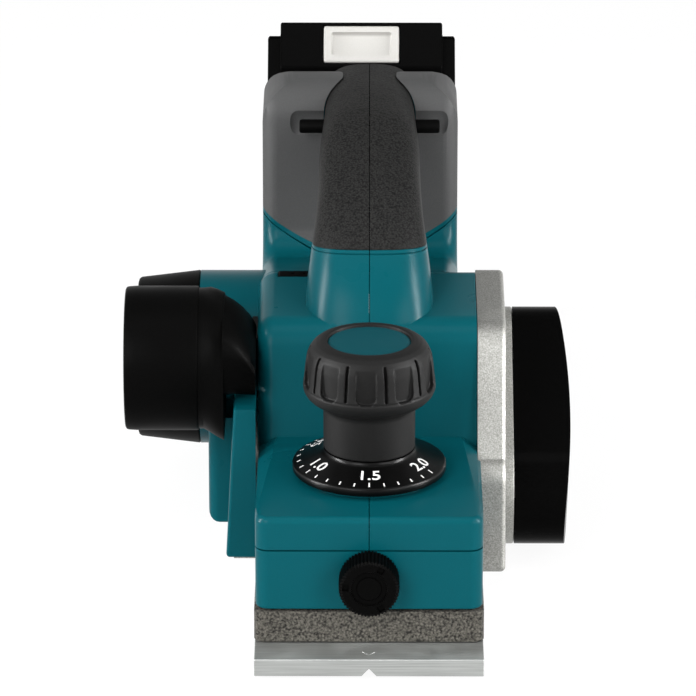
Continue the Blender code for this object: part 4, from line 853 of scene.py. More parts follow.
# ---- casing: places are (behind the front edge, height, corner radius), seen from the tool's left
casingSet = {
    "body": [(0.166, 0.0104, 0.0), (0.094, 0.0104, 0.0), (0.094, 0.0577, 0.0), (0.1065, 0.0985, 0.012),
             (0.160, 0.101, 0.009), (0.166, 0.088, 0.008)],
    "rear": [(0.292, 0.0102, 0.0), (0.135, 0.0102, 0.0), (0.135, 0.097, 0.0), (0.165, 0.098, 0.010),
             (0.210, 0.088, 0.010), (0.213, 0.1565, 0.014), (0.233, 0.1565, 0.016), (0.268, 0.139, 0.009),
             (0.268, 0.0405, 0.0), (0.292, 0.0405, 0.009)],
    "edge": 0.0062, "shoulder": 0.016, "wall": 0.003, "skin": 0.0022,
    "blockCorner": 0.005, "blockTopEdge": 0.0026, "shoulderWide": 0.0068, "shoulderDrop": 0.0050,
    "collarRadius": 0.0336, "collarReach": 0.0207, "seatRadius": 0.0252, "archRadius": 0.0328,
    "bulgeLeft": -0.0614, "bulge": (0.117, 0.200, 0.013, 0.056), "bulgeEdge": 0.004,
    # lower edge of the soft band: height in the middle, its rise at the sides, and the line below it
    "bandMiddle": 0.0905, "bandRise": 0.0165, "lineBelow": 0.0017, "lineWidth": 0.0006, "lineDepth": 0.0006,
    "bandBack": 0.2635, "bandFront": 0.196, "bandReach": 0.0395, "scoopReach": 0.0315, "scoopRadius": 0.0078,
    # it closes the seam under the handle's front edge
    "tongue": [(0.0999, 0.0776, 0.0), (0.1048, 0.0896, 0.0), (0.1128, 0.1061, 0.0), (0.1187, 0.1137, 0.0),
               (0.1225, 0.1105, 0.0), (0.1165, 0.1030, 0.0), (0.1105, 0.0930, 0.0), (0.1066, 0.0887, 0.0),
               (0.1018, 0.0767, 0.0)],
    "tongueSides": (-0.00012, 0.0012),
}
# front or top edge (behind the front edge, height), back or under edge, width
handleSet = [
    (0.099, 0.0780, 0.150, 0.0840, 0.0520), (0.104, 0.0900, 0.153, 0.0990, 0.0495),
    (0.112, 0.1065, 0.1555, 0.1075, 0.0468), (0.124, 0.1215, 0.1600, 0.1150, 0.0435),
    (0.134, 0.1300, 0.1640, 0.1185, 0.0413), (0.145, 0.1375, 0.1690, 0.1215, 0.0398),
    (0.159, 0.1445, 0.1765, 0.1245, 0.0389), (0.175, 0.1505, 0.1860, 0.1270, 0.0386),
    (0.190, 0.1545, 0.1960, 0.1283, 0.0370), (0.208, 0.1563, 0.2080, 0.1290, 0.0354),
    (0.222, 0.1570, 0.2220, 0.1290, 0.0348), (0.239, 0.1572, 0.2390, 0.1290, 0.0345),
]
handleSquareness = 2.9
railSet = {
    # half widths of the gap, the stem and the lips, where the lips start and end behind the face, foot and
    # head above the battery's foot, and how far the gap goes past them
    "rails": (0.0235, 0.028, 0.031, 0.003, 0.006, 0.004, 0.090, 0.01),
    "channel": (0.0229, 0.0286, 0.0316, 0.0024, 0.0066, -0.003, 0.0905, 0.003),
}
lastStation = len(handleSet) - 1
gripStart = 3.0                  # the soft grip starts at this station
soleLow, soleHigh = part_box("rear_base")
batteryLow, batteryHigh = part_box("battery_case")
capEndLow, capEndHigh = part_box("motor_end_cap")
coverLow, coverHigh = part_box("front_cover")
triggerLow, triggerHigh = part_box("trigger")
barLow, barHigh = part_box("lock_off_bar")
panelLow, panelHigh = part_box("status_panel")
terminalLow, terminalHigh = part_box("terminal_block")
blockLow = coverHigh.z + 0.0006
blockHalf, blockBack = coverHigh.x, coverHigh.y
bodyLeft = soleLow.x - seam
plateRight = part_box("drum_frame")[1].x - 0.0036
plateLeft = plateRight - 0.0107
bodyRight = plateLeft - seam
batteryMiddle = (batteryLow.x + batteryHigh.x) / 2
rearLeft = batteryMiddle - 0.0387
rearRight = rearLeft + 0.0766
motorY, motorZ = middleOf(capEndLow, capEndHigh)[1:]
drumY, drumZ = middleOf(*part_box("cutter_drum"))[1:]
barY, barZ = middleOf(barLow, barHigh)[1:]
barRadius = (barHigh.z - barLow.z) / 2
faceY = batteryLow.y - seam


# sizes along the handle, smooth through the stations
def stationAt(t):
    i = min(int(t), lastStation - 1)
    f = t - i
    four = [handleSet[max(i - 1, 0)], handleSet[i], handleSet[i + 1], handleSet[min(i + 2, lastStation)]]
    return [0.5 * (2 * b + (c - a) * f + (2 * a - 5 * b + 4 * c - d) * f ** 2
                   + (3 * b - a - 3 * c + d) * f ** 3) for a, b, c, d in zip(*four)]


def handleRing(t, smaller, points=72):
    frontY, frontZ, backY, backZ, width = stationAt(t)
    a = Vector((0, lipY + frontY, frontZ))
    b = Vector((0, lipY + backY, backZ))
    depth = (a - b).length / 2 - smaller
    up = (a - b).normalized()
    ring = []
    for i in range(points):
        angle = 2 * math.pi * (i + 0.5) / points
        x = squared(math.cos(angle), handleSquareness) * (width / 2 - smaller)
        d = squared(math.sin(angle), handleSquareness) * depth
        ring.append((a + b) / 2 + up * d + Vector((x, 0, 0)))
    return ring


def handleForm(name, smaller, start, end, step=0.125):
    count = max(round((end - start) / step), 1)
    return loftRings(name, [handleRing(start + (end - start) * i / count, smaller) for i in range(count + 1)])


def onSide(points, low, high):
    return max(p.z for p in points) > 0.0125 and any(
        x is not None and all(abs(p.x - x) < 0.00005 for p in points) for x in (low, high))


# an upright edge at the front of the block or the cover
def uprightInFront(points):
    return abs(points[0].z - points[1].z) > 0.005 and points[0].y < blockFront + 0.001


def rearForm(name, smaller):
    corners = fromLip(casingSet["rear"])
    if smaller:
        corners = insetCorners(corners, smaller)
    low, high = rearLeft + smaller, rearRight - smaller
    form = addSlab(name, roundCorners(corners, 8), low, high)
    roundEdges(form, max(casingSet["edge"] - smaller, 0.001), 5, lambda points: onSide(points, low, high))
    top = casingSet["rear"][5][1] - smaller - 0.00005
    arch = addBox(name + "Arch", (low + 0.00005, -far, -0.1), (high - 0.00005, far, top))
    roundEdges(arch, casingSet["shoulder"] - smaller, 12,
               lambda points: min(p.z for p in points) > 0 and abs(points[0].x - points[1].x) < 0.001)
    return keepOnly(form, arch)


# a bar across the rear that follows the soft band's curved lower edge
def edgeBar(name, under, top, front, back, steps=48):
    rings = []
    for i in range(-2, steps + 3):
        share = 2 * i / steps - 1
        x = (rearLeft + rearRight) / 2 + share * casingSet["bandReach"]
        rise = casingSet["bandRise"] * min(abs(share), 1.0) ** 2.2
        low = casingSet["bandMiddle"] + rise - under
        high = top if top else low + casingSet["lineWidth"]
        rings.append([Vector((x, y, z)) for y, z in ((front, low), (back, low), (back, high), (front, high))])
    return loftRings(name, rings)


def bandRegion(name):
    return edgeBar(name, 0.0, 0.2, lipY + casingSet["bandFront"], lipY + casingSet["bandBack"])


# a block whose one face lies through three points, for cutting what is beyond it
def slopeBox(name, a, b, c, side):
    a, b, c = Vector(a), Vector(b), Vector(c)
    normal = (b - a).cross(c - a).normalized() * side
    block = addBox(name, (-0.1, -0.1, 0), (0.1, 0.1, 0.05))
    return put(block, Matrix.Translation(a) @ normal.to_track_quat("Z", "Y").to_matrix().to_4x4(), name)


def makeTopBlock(name):
    block = addBox(name, (-blockHalf, blockFront, blockLow), (blockHalf, blockBack + 0.006, blockTop))
    roundEdges(block, casingSet["blockCorner"], 8, uprightInFront)
    roundEdges(block, casingSet["blockTopEdge"], 5, lambda points:
               min(p.z for p in points) > blockTop - 0.0001 and max(p.y for p in points) < blockBack)
    wide, drop = casingSet["shoulderWide"], casingSet["shoulderDrop"]
    for side in (-1, 1):
        carve(block, slopeBox("shoulder", (side * (blockHalf - 0.0004), blockFront + 0.004, blockTop),
                              (side * (blockHalf - wide), blockBack, blockTop),
                              (side * blockHalf, blockBack, blockTop - drop), -side))
    return block


def tunnelTool(name, low, high, radius):
    tool = rodX(name, drumY, drumZ, low, high, radius, 96)
    return weld(tool, addBox(name + "Foot", (low, drumY - radius, -0.1), (high, drumY + radius, drumZ)))


# the T rails that the battery slides on, or the wider channel for them
def railTool(name):
    gap, stem, lips, start, end, foot, head, over = railSet[name]
    low, high = batteryLow.z + foot, batteryLow.z + head
    rails = addBox(name, (batteryMiddle - stem, faceY - 0.001, low),
                   (batteryMiddle + stem, faceY + end, high))
    weld(rails, addBox("lips", (batteryMiddle - lips, faceY + start, low),
                       (batteryMiddle + lips, faceY + end, high)))
    return carve(rails, addBox(name + "Gap", (batteryMiddle - gap, faceY - 0.003, low - over),
                               (batteryMiddle + gap, faceY + 0.012, high + over)))


# the outside of both housing halves without the handle
def casingShell():
    wall = casingSet["wall"]
    whole = addSlab("casing", roundCorners(fromLip(casingSet["body"]), 10), bodyLeft, bodyRight)
    roundEdges(whole, casingSet["edge"], 6, lambda points: onSide(points, bodyLeft, None))
    front, back, low, high = casingSet["bulge"]
    bulge = addBox("bulge", (casingSet["bulgeLeft"], lipY + front, low), (bodyLeft + wall, lipY + back, high))
    roundEdges(bulge, casingSet["bulgeEdge"], 5, lambda points: max(p.x for p in points) < bodyLeft)
    collar = rodX("collar", motorY, motorZ, capEndHigh.x, bodyLeft + casingSet["collarReach"],
                  casingSet["collarRadius"], 98)
    carve(whole, addBox("neckRoom", (-0.09, lipY + 0.1096, 0.0771), (-0.031, lipY + 0.1335, 0.0917)))
    seat = addRod("dialSeat", (0, knobY, blockTop - 0.0017), (0, knobY, blockTop + seatHeight.z),
                  casingSet["seatRadius"], 90)
    return weld(whole, rearForm("rear", 0.0), collar, bulge, makeTopBlock("topBlock"), seat)


# everything that is cut out of the casing for what sits in it
def casingRooms():
    wall = casingSet["wall"]
    front, back, low, high = casingSet["bulge"]
    rooms = [
        addBox("lowRoom", (rearLeft + wall, lipY + 0.150, 0.0132), (rearRight - wall, faceY - wall, 0.0885)),
        addBox("blockRoom", (-blockHalf + wall, blockFront + wall, 0),
               (blockHalf - wall, blockBack + 0.0035, blockTop - wall)),
        addBox("bulgeRoom", (casingSet["bulgeLeft"] + wall, lipY + front + wall, low + wall),
               (bodyLeft + 2 * wall, lipY + back - wall, high - wall)),
        rodX("motorRoom", motorY, motorZ, capEndHigh.x - 0.01, bodyLeft + 0.03,
             casingSet["collarRadius"] - wall, 72),
        tunnelTool("archRoom", -0.0515, plateRight, casingSet["archRadius"]),
        addBox("plateRoom", (plateLeft - seam + 0.0001, lipY + 0.080 - seam, 0),
               (far, lipY + 0.160, blockTop + 0.001)),
        addRod("screwRoom", (0, knobY, 0), (0, knobY, 0.12), 0.0043, 32),
        addBox("terminalRoom", (terminalLow.x - seam, faceY - 0.009, terminalLow.z - seam),
               (terminalHigh.x + seam, faceY + 0.01, terminalHigh.z + seam)),
        addBox("panelRoom", (panelLow.x - seam, panelLow.y - seam, panelLow.z - 0.001),
               (panelHigh.x + seam, panelHigh.y + seam, panelHigh.z + 0.01)),
    ]
    for i in range(1, 5):
        low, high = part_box("housing_screw_%d" % i)
        x, y, z = low.x, *middleOf(low, high)[1:]
        rooms.append(rodX("headRoom", y, z, x - 0.03, x + 0.0025, 0.0033, 32))
        rooms.append(rodX("shankRoom", y, z, x, 0.016, 0.0018, 20))
    return rooms


def makeCasing():
    wall, skin, line = casingSet["wall"], casingSet["skin"], casingSet["lineDepth"]
    deep = wall + skin
    whole = casingShell()
    bodyRoom = addSlab("bodyRoom", roundCorners(insetCorners(fromLip(casingSet["body"]), wall), 6),
                       bodyLeft + wall, bodyRight - wall)
    rearRoom = rearForm("rearRoom", deep)
    handle = handleForm("handle", 0.0, 0.0, gripStart)
    weld(handle, handleForm("handleCore", skin + seam, gripStart - 1, lastStation - 1, 0.25))
    carve(handle, handleForm("handleRoom", deep, 0.0, lastStation - 1.6, 0.5),
          copyOf(bodyRoom, "bodyRoomToo"), copyOf(rearRoom, "rearRoomToo"))
    ring = loftRings("collarLine", [handleRing(t, -0.002) for t in (gripStart - 0.115, gripStart - 0.083)])
    carve(handle, carve(ring, handleForm("collarCore", line, 2.0, 4.0)))
    bandLine = edgeBar("bandLine", casingSet["lineBelow"] + casingSet["lineWidth"], None, lipY + 0.190,
                       lipY + 0.2625)
    carve(whole, bodyRoom, rearRoom, *casingRooms(),
          carve(bandRegion("jacket"), rearForm("jacketCore", skin + seam)),
          carve(bandLine, rearForm("lineCore", line)))
    weld(whole, handle)
    carve(whole, addBox("triggerRoom", (triggerLow.x - 0.0006, triggerLow.y - 0.0015, triggerLow.z - 0.012),
                        (triggerHigh.x + 0.0006, triggerHigh.y + 0.0012, triggerHigh.z + 0.001)),
          rodX("barRoom", barY, barZ, -far, far, barRadius + seam, 32))
    weld(whole, railTool("rails"))
    right = keepHalf(copyOf(whole, "housingRight"), -1)
    left = keepHalf(whole, 1)
    left.name = "housingLeft"
    weld(left, addSlab("seamTongue", roundCorners(fromLip(casingSet["tongue"]), 1),
                       *casingSet["tongueSides"]))
    for half, node in ((right, "housing_right"), (left, "housing_left")):
        finishPiece(steady(half), "tealShell", "root", "teal_plastic", node)


def makeSoftParts():
    skin = casingSet["skin"]
    band = rearForm("band", 0.0)
    region = carve(bandRegion("region"), rearForm("bandCore", skin),
                   handleForm("bandHandle", -0.0005, 2.0, lastStation))
    keepOnly(band, region)
    scoop = rodX("scoop", barY, barZ, -casingSet["scoopReach"], casingSet["scoopReach"],
                 casingSet["scoopRadius"], 64)
    roundEdges(scoop, 0.0035, 5, lambda points: abs(points[0].x - points[1].x) < 0.00001)
    carve(band, scoop)
    grip = handleForm("grip", 0.0, gripStart + 0.012, lastStation, 0.125)
    carve(grip, handleForm("gripCore", skin, gripStart - 1, lastStation - 0.2, 0.25),
          addBox("gripTrigger", (triggerLow.x - 0.001, triggerLow.y - 0.0025, triggerLow.z - 0.012),
                 (triggerHigh.x + 0.001, triggerHigh.y + 0.0022, triggerHigh.z)),
          rodX("gripBar", barY, barZ, -far, far, barRadius + 0.0006, 32))
    for whole, stem, node, skinPaint, slot in (
            (band, "rearGrip", "rear_grip", "bandElastomer", "grey_elastomer"),
            (grip, "grip", "grip", "handleLeather", "grip_rubber")):
        right = keepHalf(copyOf(whole, stem + "Right"), -1)
        left = keepHalf(whole, 1)
        left.name = stem + "Left"
        for half, side in ((right, "_right"), (left, "_left")):
            finishPiece(steady(half), skinPaint, "root", slot, node + side)


makeCasing()
makeSoftParts()
print("casing, soft grips and rear band made")


# ---- aluminium frame, belt guard, chip outlet, motor cap and the plates beside them
frameSet = {
    "plate": [(0.080, 0.0075, 0.003), (0.080, 0.0495, 0.0085), (0.0865, 0.0520, 0.002), (0.106, 0.097, 0.013),
              (0.164, 0.0995, 0.010), (0.196, 0.0725, 0.012), (0.190, 0.0405, 0.012), (0.161, 0.0075, 0.006)],
    "rightEdge": 0.0018, "archRadius": 0.0325, "tunnelRadius": 0.0285, "archLeft": -0.0512,
    "deckLow": 0.0300, "deckHigh": 0.0360, "drumBearing": 0.041,
    # radii of what is bored
    "screwHole": 0.0043, "thumbHole": 0.0033, "guardHole": 0.0023, "smallBearing": 0.0113,
    "largeBearing": 0.0133, "drumHole": 0.0065, "motorHole": 0.0055,
}
guardSet = {"drumRadius": 0.0225, "motorRadius": 0.0195, "wall": 0.0022, "crown": 0.343, "crownAt": 0.019,
            "rightEnd": 0.0768, "edge": 0.0017, "post": 0.0043, "screwHead": 0.0036}
outletSet = {
    "mouth": 0.0273, "wall": 0.0022, "rim": 0.0012, "channelWidth": 0.0735,
    "channel": [(0.136, 0.0615, 0.0), (0.0991, 0.0615, 0.0), (0.1083, 0.0915, 0.0), (0.136, 0.0915, 0.0)],
    # x, front, back (behind the front edge), foot, top, squareness
    "outer": [(-0.0643, 0.0854, 0.1386, 0.0558, 0.1091, 2.0), (-0.0625, 0.0854, 0.1386, 0.0558, 0.1091, 2.0),
              (-0.0600, 0.0853, 0.1386, 0.0557, 0.1087, 2.5), (-0.0575, 0.0852, 0.1384, 0.0556, 0.1079, 3.3),
              (-0.0547, 0.0850, 0.1380, 0.0556, 0.1066, 4.6)],
    "inner": [(-0.0551, 0.0858, 0.1350, 0.0748, 0.1056, 4.4), (-0.0515, 0.0861, 0.1345, 0.0748, 0.1034, 4.4),
              (-0.0480, 0.0866, 0.1340, 0.0748, 0.1004, 4.6), (-0.0452, 0.0872, 0.1336, 0.0748, 0.0968, 4.8),
              (-0.0428, 0.0880, 0.1332, 0.0748, 0.0922, 5.0)],
    "bore": [(-0.0560, 0.0885, 0.1350, 0.0700, 0.1030, 3.5), (-0.0448, 0.0900, 0.1332, 0.0760, 0.0935, 5.0)],
    "topSquareness": 2.3,
}
sideSet = {"front": 0.082, "low": 0.0135, "high": 0.0735, "footLeft": -0.0540, "topLeft": -0.0508,
           "edge": 0.0013}
shoeSet = {"edge": 0.0003, "markBehind": 0.0042, "markUp": 0.0067, "markLean": 42, "markHalf": 0.0003,
           "markLong": 0.0034, "markDeep": 0.00035, "foamEdge": 0.0004}
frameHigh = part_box("drum_frame")[1]
nozzleLow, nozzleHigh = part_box("chip_nozzle")
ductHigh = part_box("chip_duct")[1]
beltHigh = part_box("belt_cover")[1]
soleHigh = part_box("rear_base")[1]
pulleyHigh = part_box("drum_pulley")[1]
thumbZ = middleOf(*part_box("thumb_screw"))[2]
nozzleY, nozzleZ = middleOf(nozzleLow, nozzleHigh)[1:]
between = Vector((motorY - drumY, motorZ - drumZ))


# a belt's outline round the drum's pulley and the motor's
def obround(smaller=0.0, steps=28):
    drumRadius, motorRadius = guardSet["drumRadius"] - smaller, guardSet["motorRadius"] - smaller
    heading = math.atan2(between.y, between.x)
    lean = math.acos((drumRadius - motorRadius) / between.length)
    made = []
    for y, z, radius, first, sweep in ((drumY, drumZ, drumRadius, heading + lean, 2 * math.pi - 2 * lean),
                                       (motorY, motorZ, motorRadius, heading - lean, 2 * lean)):
        for i in range(steps + 1):
            angle = first + sweep * i / steps
            made.append((y + radius * math.cos(angle), z + radius * math.sin(angle)))
    return made


def guardScrews():
    return [(*middleOf(low, high)[1:], low.x, high.x)
            for low, high in (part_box("belt_cover_screw_1"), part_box("belt_cover_screw_2"))]


# everything that is cut out of the frame for what sits in it or goes through it
def frameRooms():
    screwHole, bearing = frameSet["screwHole"], frameSet["drumBearing"]
    rooms = [
        addSlab("beltRoom", obround(guardSet["wall"]), plateRight, frameHigh.x + 0.003),
        tunnelTool("frameTunnel", bodyLeft, soleHigh.x - 0.0006, frameSet["tunnelRadius"]),
        addBox("soleRoom", (-far, lipY, -0.003), (soleHigh.x + 0.0006, soleHigh.y, soleHigh.z + seam)),
        addBox("chipSlot", (-0.034, drumY - 0.018, drumZ + 0.012), (0.034, drumY + 0.012, drumZ + 0.05)),
        rodX("leftBearingRoom", drumY, drumZ, frameSet["archLeft"] + 0.0015, -bearing,
             frameSet["smallBearing"]),
        rodX("rightBearingRoom", drumY, drumZ, bearing, plateRight - 0.0015, frameSet["largeBearing"]),
        rodX("motorBearingRoom", motorY, motorZ, plateLeft - 0.003, plateRight - 0.0025,
             frameSet["smallBearing"]),
        rodX("drumHole", drumY, drumZ, 0, far, frameSet["drumHole"]),
        rodX("motorHole", motorY, motorZ, 0, far, frameSet["motorHole"]),
        addRod("screwHole", (0, knobY, 0), (0, knobY, coverHigh.z), screwHole, 32),
        addRod("thumbHole", (0, lipY, thumbZ), (0, blockFront + 0.0205, thumbZ), frameSet["thumbHole"], 32),
    ]
    for name in ("guide_pin_left", "guide_pin_right"):
        x = middleOf(*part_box(name))[0]
        rooms.append(addRod("pinHole", (x, knobY, 0), (x, knobY, coverHigh.z), screwHole, 32))
    for y, z, low, high in guardScrews():
        rooms.append(rodX("guardHole", y, z, low - 0.001, far, frameSet["guardHole"], 24))
    return rooms


def makeFrame():
    plate = addSlab("frame", roundCorners(fromLip(frameSet["plate"]), 10), plateLeft, plateRight)
    roundEdges(plate, frameSet["rightEdge"], 4,
               lambda points: all(p.x > plateRight - 0.00005 for p in points))
    arch = tunnelTool("frameArch", frameSet["archLeft"], plateLeft + 0.002, frameSet["archRadius"])
    carve(arch, addBox("archGround", (-far, -far, -far), (far, far, soleHigh.z + seam)))
    deck = addBox("frameDeck", (-blockHalf + 0.0033, blockFront + 0.005, frameSet["deckLow"]),
                  (blockHalf - 0.0033, drumY - 0.0245, frameSet["deckHigh"]))
    flange = addSlab("frameFlange", obround(), plateRight - 0.001, frameHigh.x)
    roundEdges(flange, 0.0005, 2, lambda points: all(p.x > frameHigh.x - 0.00005 for p in points))
    weld(plate, arch, deck, flange)
    carve(plate, *frameRooms())
    steady(plate, 32)
    finishPiece(plate, "castBlasted", "root", "cast_aluminium", "drum_frame")


# a drum whose side is the guard's slightly crowned outer face
def crownTool(name):
    along = between.normalized()
    foot = Vector((drumY, drumZ)) + along * guardSet["crownAt"]
    across = Vector((0, -along.y, along.x))
    centre = Vector((guardSet["rightEnd"] - guardSet["crown"], foot.x, foot.y))
    return addRod(name, centre - across * 0.1, centre + across * 0.1, guardSet["crown"], 720)


def makeGuard():
    left = frameHigh.x + seam
    guard = addSlab("beltGuard", obround(), left, beltHigh.x + 0.003)
    keepOnly(guard, crownTool("crown"))
    softenEdges(guard, guardSet["edge"], 4, 60)
    carve(guard, addSlab("guardRoom", obround(guardSet["wall"]), left - 0.003, pulleyHigh.x + 0.0036))
    weld(guard, *[rodX("post", y, z, plateRight + seam, pulleyHigh.x + 0.005, guardSet["post"])
                  for y, z, low, high in guardScrews()])
    tools = []
    for y, z, low, high in guardScrews():
        tools.append(rodX("guardBore", y, z, 0, far, frameSet["guardHole"], 24))
        tools.append(rodX("guardHead", y, z, high - 0.0025, far, guardSet["screwHead"], 32))
    carve(guard, *tools)
    steady(guard, 40)
    finishPiece(guard, "glossBlack", "root", "black_plastic", "belt_cover")


def outletRing(x, front, back, foot, top, squareness, smaller=0.0, points=72):
    y, z = lipY + (front + back) / 2, (foot + top) / 2
    halfY, halfZ = (back - front) / 2 - smaller, (top - foot) / 2 - smaller
    ring = []
    for i in range(points):
        c, s = math.cos(2 * math.pi * i / points), math.sin(2 * math.pi * i / points)
        here = squareness if s < 0 else min(squareness, outletSet["topSquareness"])
        ring.append(Vector((x, y + squared(c, here) * halfY, z + squared(s, here) * halfZ)))
    return ring


def channelSlab(name, smaller):
    corners = fromLip(outletSet["channel"])
    if smaller:
        corners = insetCorners(corners, smaller)
    return addSlab(name, roundCorners(corners, 1), ductHigh.x - outletSet["channelWidth"] + smaller,
                   ductHigh.x - smaller)


def neckBox(name, left, right, front, back, low, high):
    return addBox(name, (left, lipY + front, low), (right, lipY + back, high))


# the chip duct: an oval socket, a narrowing neck and the channel over the drum
def makeDuct():
    wall = outletSet["wall"]
    duct = loftRings("chipDuct", [outletRing(*station) for station in outletSet["outer"]])
    weld(duct, loftRings("ductInner", [outletRing(*station) for station in outletSet["inner"]]),
         neckBox("ductNeck", -0.0445, -0.0380, 0.1099, 0.1332, 0.0775, 0.0913), channelSlab("channel", 0.0))
    softenEdges(duct, 0.0006, 2, 50)
    first = outletSet["outer"][0]
    bore = loftRings("ductBore", [outletRing(*station, wall) for station in
                                  ((first[0] - 0.003, *first[1:]), first, *outletSet["bore"])])
    carve(duct, bore, neckBox("neckBore", -0.0455, -0.0355, 0.1115, 0.1317, 0.0795, 0.0892),
          channelSlab("channelBore", wall),
          addBox("drop", (-0.033, drumY - 0.017, 0.058), (0.033, drumY + 0.011, 0.0715)))
    steady(duct, 38)
    finishPiece(duct, "blackShell", "root", "black_plastic", "chip_duct")


def makeNozzle():
    outer, rim, wall = outletSet["mouth"], outletSet["rim"], outletSet["wall"]
    long = nozzleHigh.x - nozzleLow.x
    inner = outer - wall
    profile = [(inner, 0.0004), (inner - 0.0001, long - rim * 0.5), (inner + rim * 0.3, long),
               (outer - rim * 0.9, long), (outer - rim * 0.35, long - rim * 0.35),
               (outer - 0.0002, long - rim), (outer, long - 0.004), (outer, 0.0008), (outer - 0.0003, 0.0001),
               (outer - 0.0007, 0.0), (inner, 0.0), (inner, 0.0004)]
    nozzle = turn("chipNozzle", profile, (nozzleHigh.x, nozzleY, nozzleZ), (-1, 0, 0), 128)
    smoothShade(nozzle, 40)
    finishPiece(nozzle, "blackShell", "root", "black_plastic", "chip_nozzle")


def makeMotorCap():
    root, end = casingSet["collarRadius"], 0.031
    long = capEndHigh.x - capEndLow.x
    profile = [(root - 0.003, 0.0), (end - 0.0035, long - 0.003), (0.0115, long - 0.003),
               (0.0110, long - 0.013), (0.0083, long - 0.013), (0.0083, long - 0.004), (0.0, long - 0.004),
               (0.0, long - 0.0008), (0.0190, long - 0.0008), (0.0196, long), (end - 0.0016, long),
               (end - 0.0007, long - 0.0003), (end - 0.0001, long - 0.0012), (root, 0.0006),
               (root - 0.0004, 0.0), (root - 0.003, 0.0)]
    cap = turn("motorCap", profile, (capEndHigh.x, motorY, motorZ), (-1, 0, 0), 128)
    smoothShade(cap, 35)
    finishPiece(cap, "blackShell", "root", "black_plastic", "motor_end_cap")


# the arch of the frame as cut out of the covers round it
def archTool(name, right):
    return tunnelTool(name, frameSet["archLeft"] - seam, right, frameSet["archRadius"] + seam)


def makeSideCover():
    right = min(bodyLeft, -blockHalf - 0.0005) - seam
    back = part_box("side_cover")[1].y
    front, low, high = lipY + sideSet["front"], sideSet["low"], sideSet["high"]
    cover = addBox("sideCover", (sideSet["footLeft"], front, low), (right, back, high))
    for vertex in cover.data.vertices:
        if vertex.co.x < -0.05 and vertex.co.z > high - 0.001:
            vertex.co.x = sideSet["topLeft"]
    roundEdges(cover, sideSet["edge"], 4, lambda points: max(p.x for p in points) < right - 0.005)
    carve(cover, addBox("coverRoom", (frameSet["archLeft"] - seam, front + 0.0025, low + 0.0025),
                        (0, back - 0.003, high - 0.0025)), archTool("coverArchRoom", 0.04))
    steady(cover, 40)
    finishPiece(cover, "tealShell", "root", "teal_plastic", "side_cover")


def makeFrontCover():
    low, high, wall = coverLow.z, coverHigh.z, casingSet["wall"]
    cover = addBox("frontCover", (-blockHalf, blockFront, low), (blockHalf, blockBack, high))
    roundEdges(cover, casingSet["blockCorner"], 8, uprightInFront)
    roundEdges(cover, 0.0009, 3, lambda points: max(p.z for p in points) < low + 0.00005
               and max(p.y for p in points) < blockBack - 0.0001)
    carve(cover,
          addBox("coverRoom", (-blockHalf + wall, blockFront + wall, low - wall),
                 (blockHalf - wall, blockBack + wall, high + wall)),
          addRod("thumbBore", (0, lipY, thumbZ), (0, knobY, thumbZ), frameSet["thumbHole"], 32),
          archTool("coverArch", plateRight),
          addBox("coverPlate", (plateLeft - seam, lipY + 0.080 - seam, 0), (far, far, 0.1)))
    steady(cover, 40)
    finishPiece(cover, "tealShell", "root", "teal_plastic", "front_cover")


# the front shoe with an arrow of two strokes cut into its lip
def makeFrontBase():
    base = joinedCopy("front_base", "frontBase")
    softenEdges(base, shoeSet["edge"], 2, 60)
    half = shoeSet["markHalf"]
    strokes = []
    for side in (-1, 1):
        stroke = addBox("stroke", (-half, -half, -shoeSet["markDeep"]), (half, shoeSet["markLong"], 0.001))
        place = (0, lipY + shoeSet["markBehind"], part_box("front_base")[0].z + shoeSet["markUp"])
        strokes.append(put(stroke, Matrix.Translation(place) @ turned(side * shoeSet["markLean"], "Z")))
    carve(base, *strokes)
    steady(base, 30)
    finishPiece(base, "milledSole", "front_shoe", "milled_aluminium", "front_base")


def makeFoam():
    foam = joinedCopy("foam_seal", "foamSeal")
    softenEdges(foam, shoeSet["foamEdge"], 3, 60)
    steady(foam, 30)
    finishPiece(foam, "foamOpen", "front_shoe", "foam", "foam_seal")


makeFrame()
makeGuard()
makeDuct()
makeNozzle()
makeMotorCap()
makeSideCover()
makeFrontCover()
makeFrontBase()
makeFoam()
print("frame, guard, outlet, cap, plates, shoe and foam made")


# ---- battery pack with its button, the small status panel and the lock bar
packSet = {
    # slope: how far the front slope runs, at the angle rise; fall: the angle of the long one behind it
    "backCorner": 0.006, "slope": 0.0140, "rise": 45, "fall": 24.0, "shoulderWide": 0.0051,
    "shoulderDrop": 0.0062, "edge": 0.0016, "wall": 0.0025, "ventHalf": 0.004, "exitHalf": 0.0316,
    # the button's width, length and depth, how far along the slope it starts, and its travel
    "button": (0.0302, 0.0162, 0.006), "buttonStart": 0.0017, "travel": 0.003, "buttonEdge": 0.0010,
    "dishMargin": 0.003, "dishDeep": 0.0022, "dishEdge": 0.001,
}
panelSet = {"edge": 0.0006, "dots": 3, "dotApart": 0.0045, "dotRadius": 0.00055, "dotDeep": 0.0003}
batteryTop = batteryHigh.z


# a big block whose foot lies on a slanted plane: everything above the plane is cut away
def slantTool(name, y, z, degrees):
    block = addBox(name, (-far, -far, 0), (far, far, far))
    return put(block, Matrix.Translation((0, y, z)) @ turned(degrees, "X"))


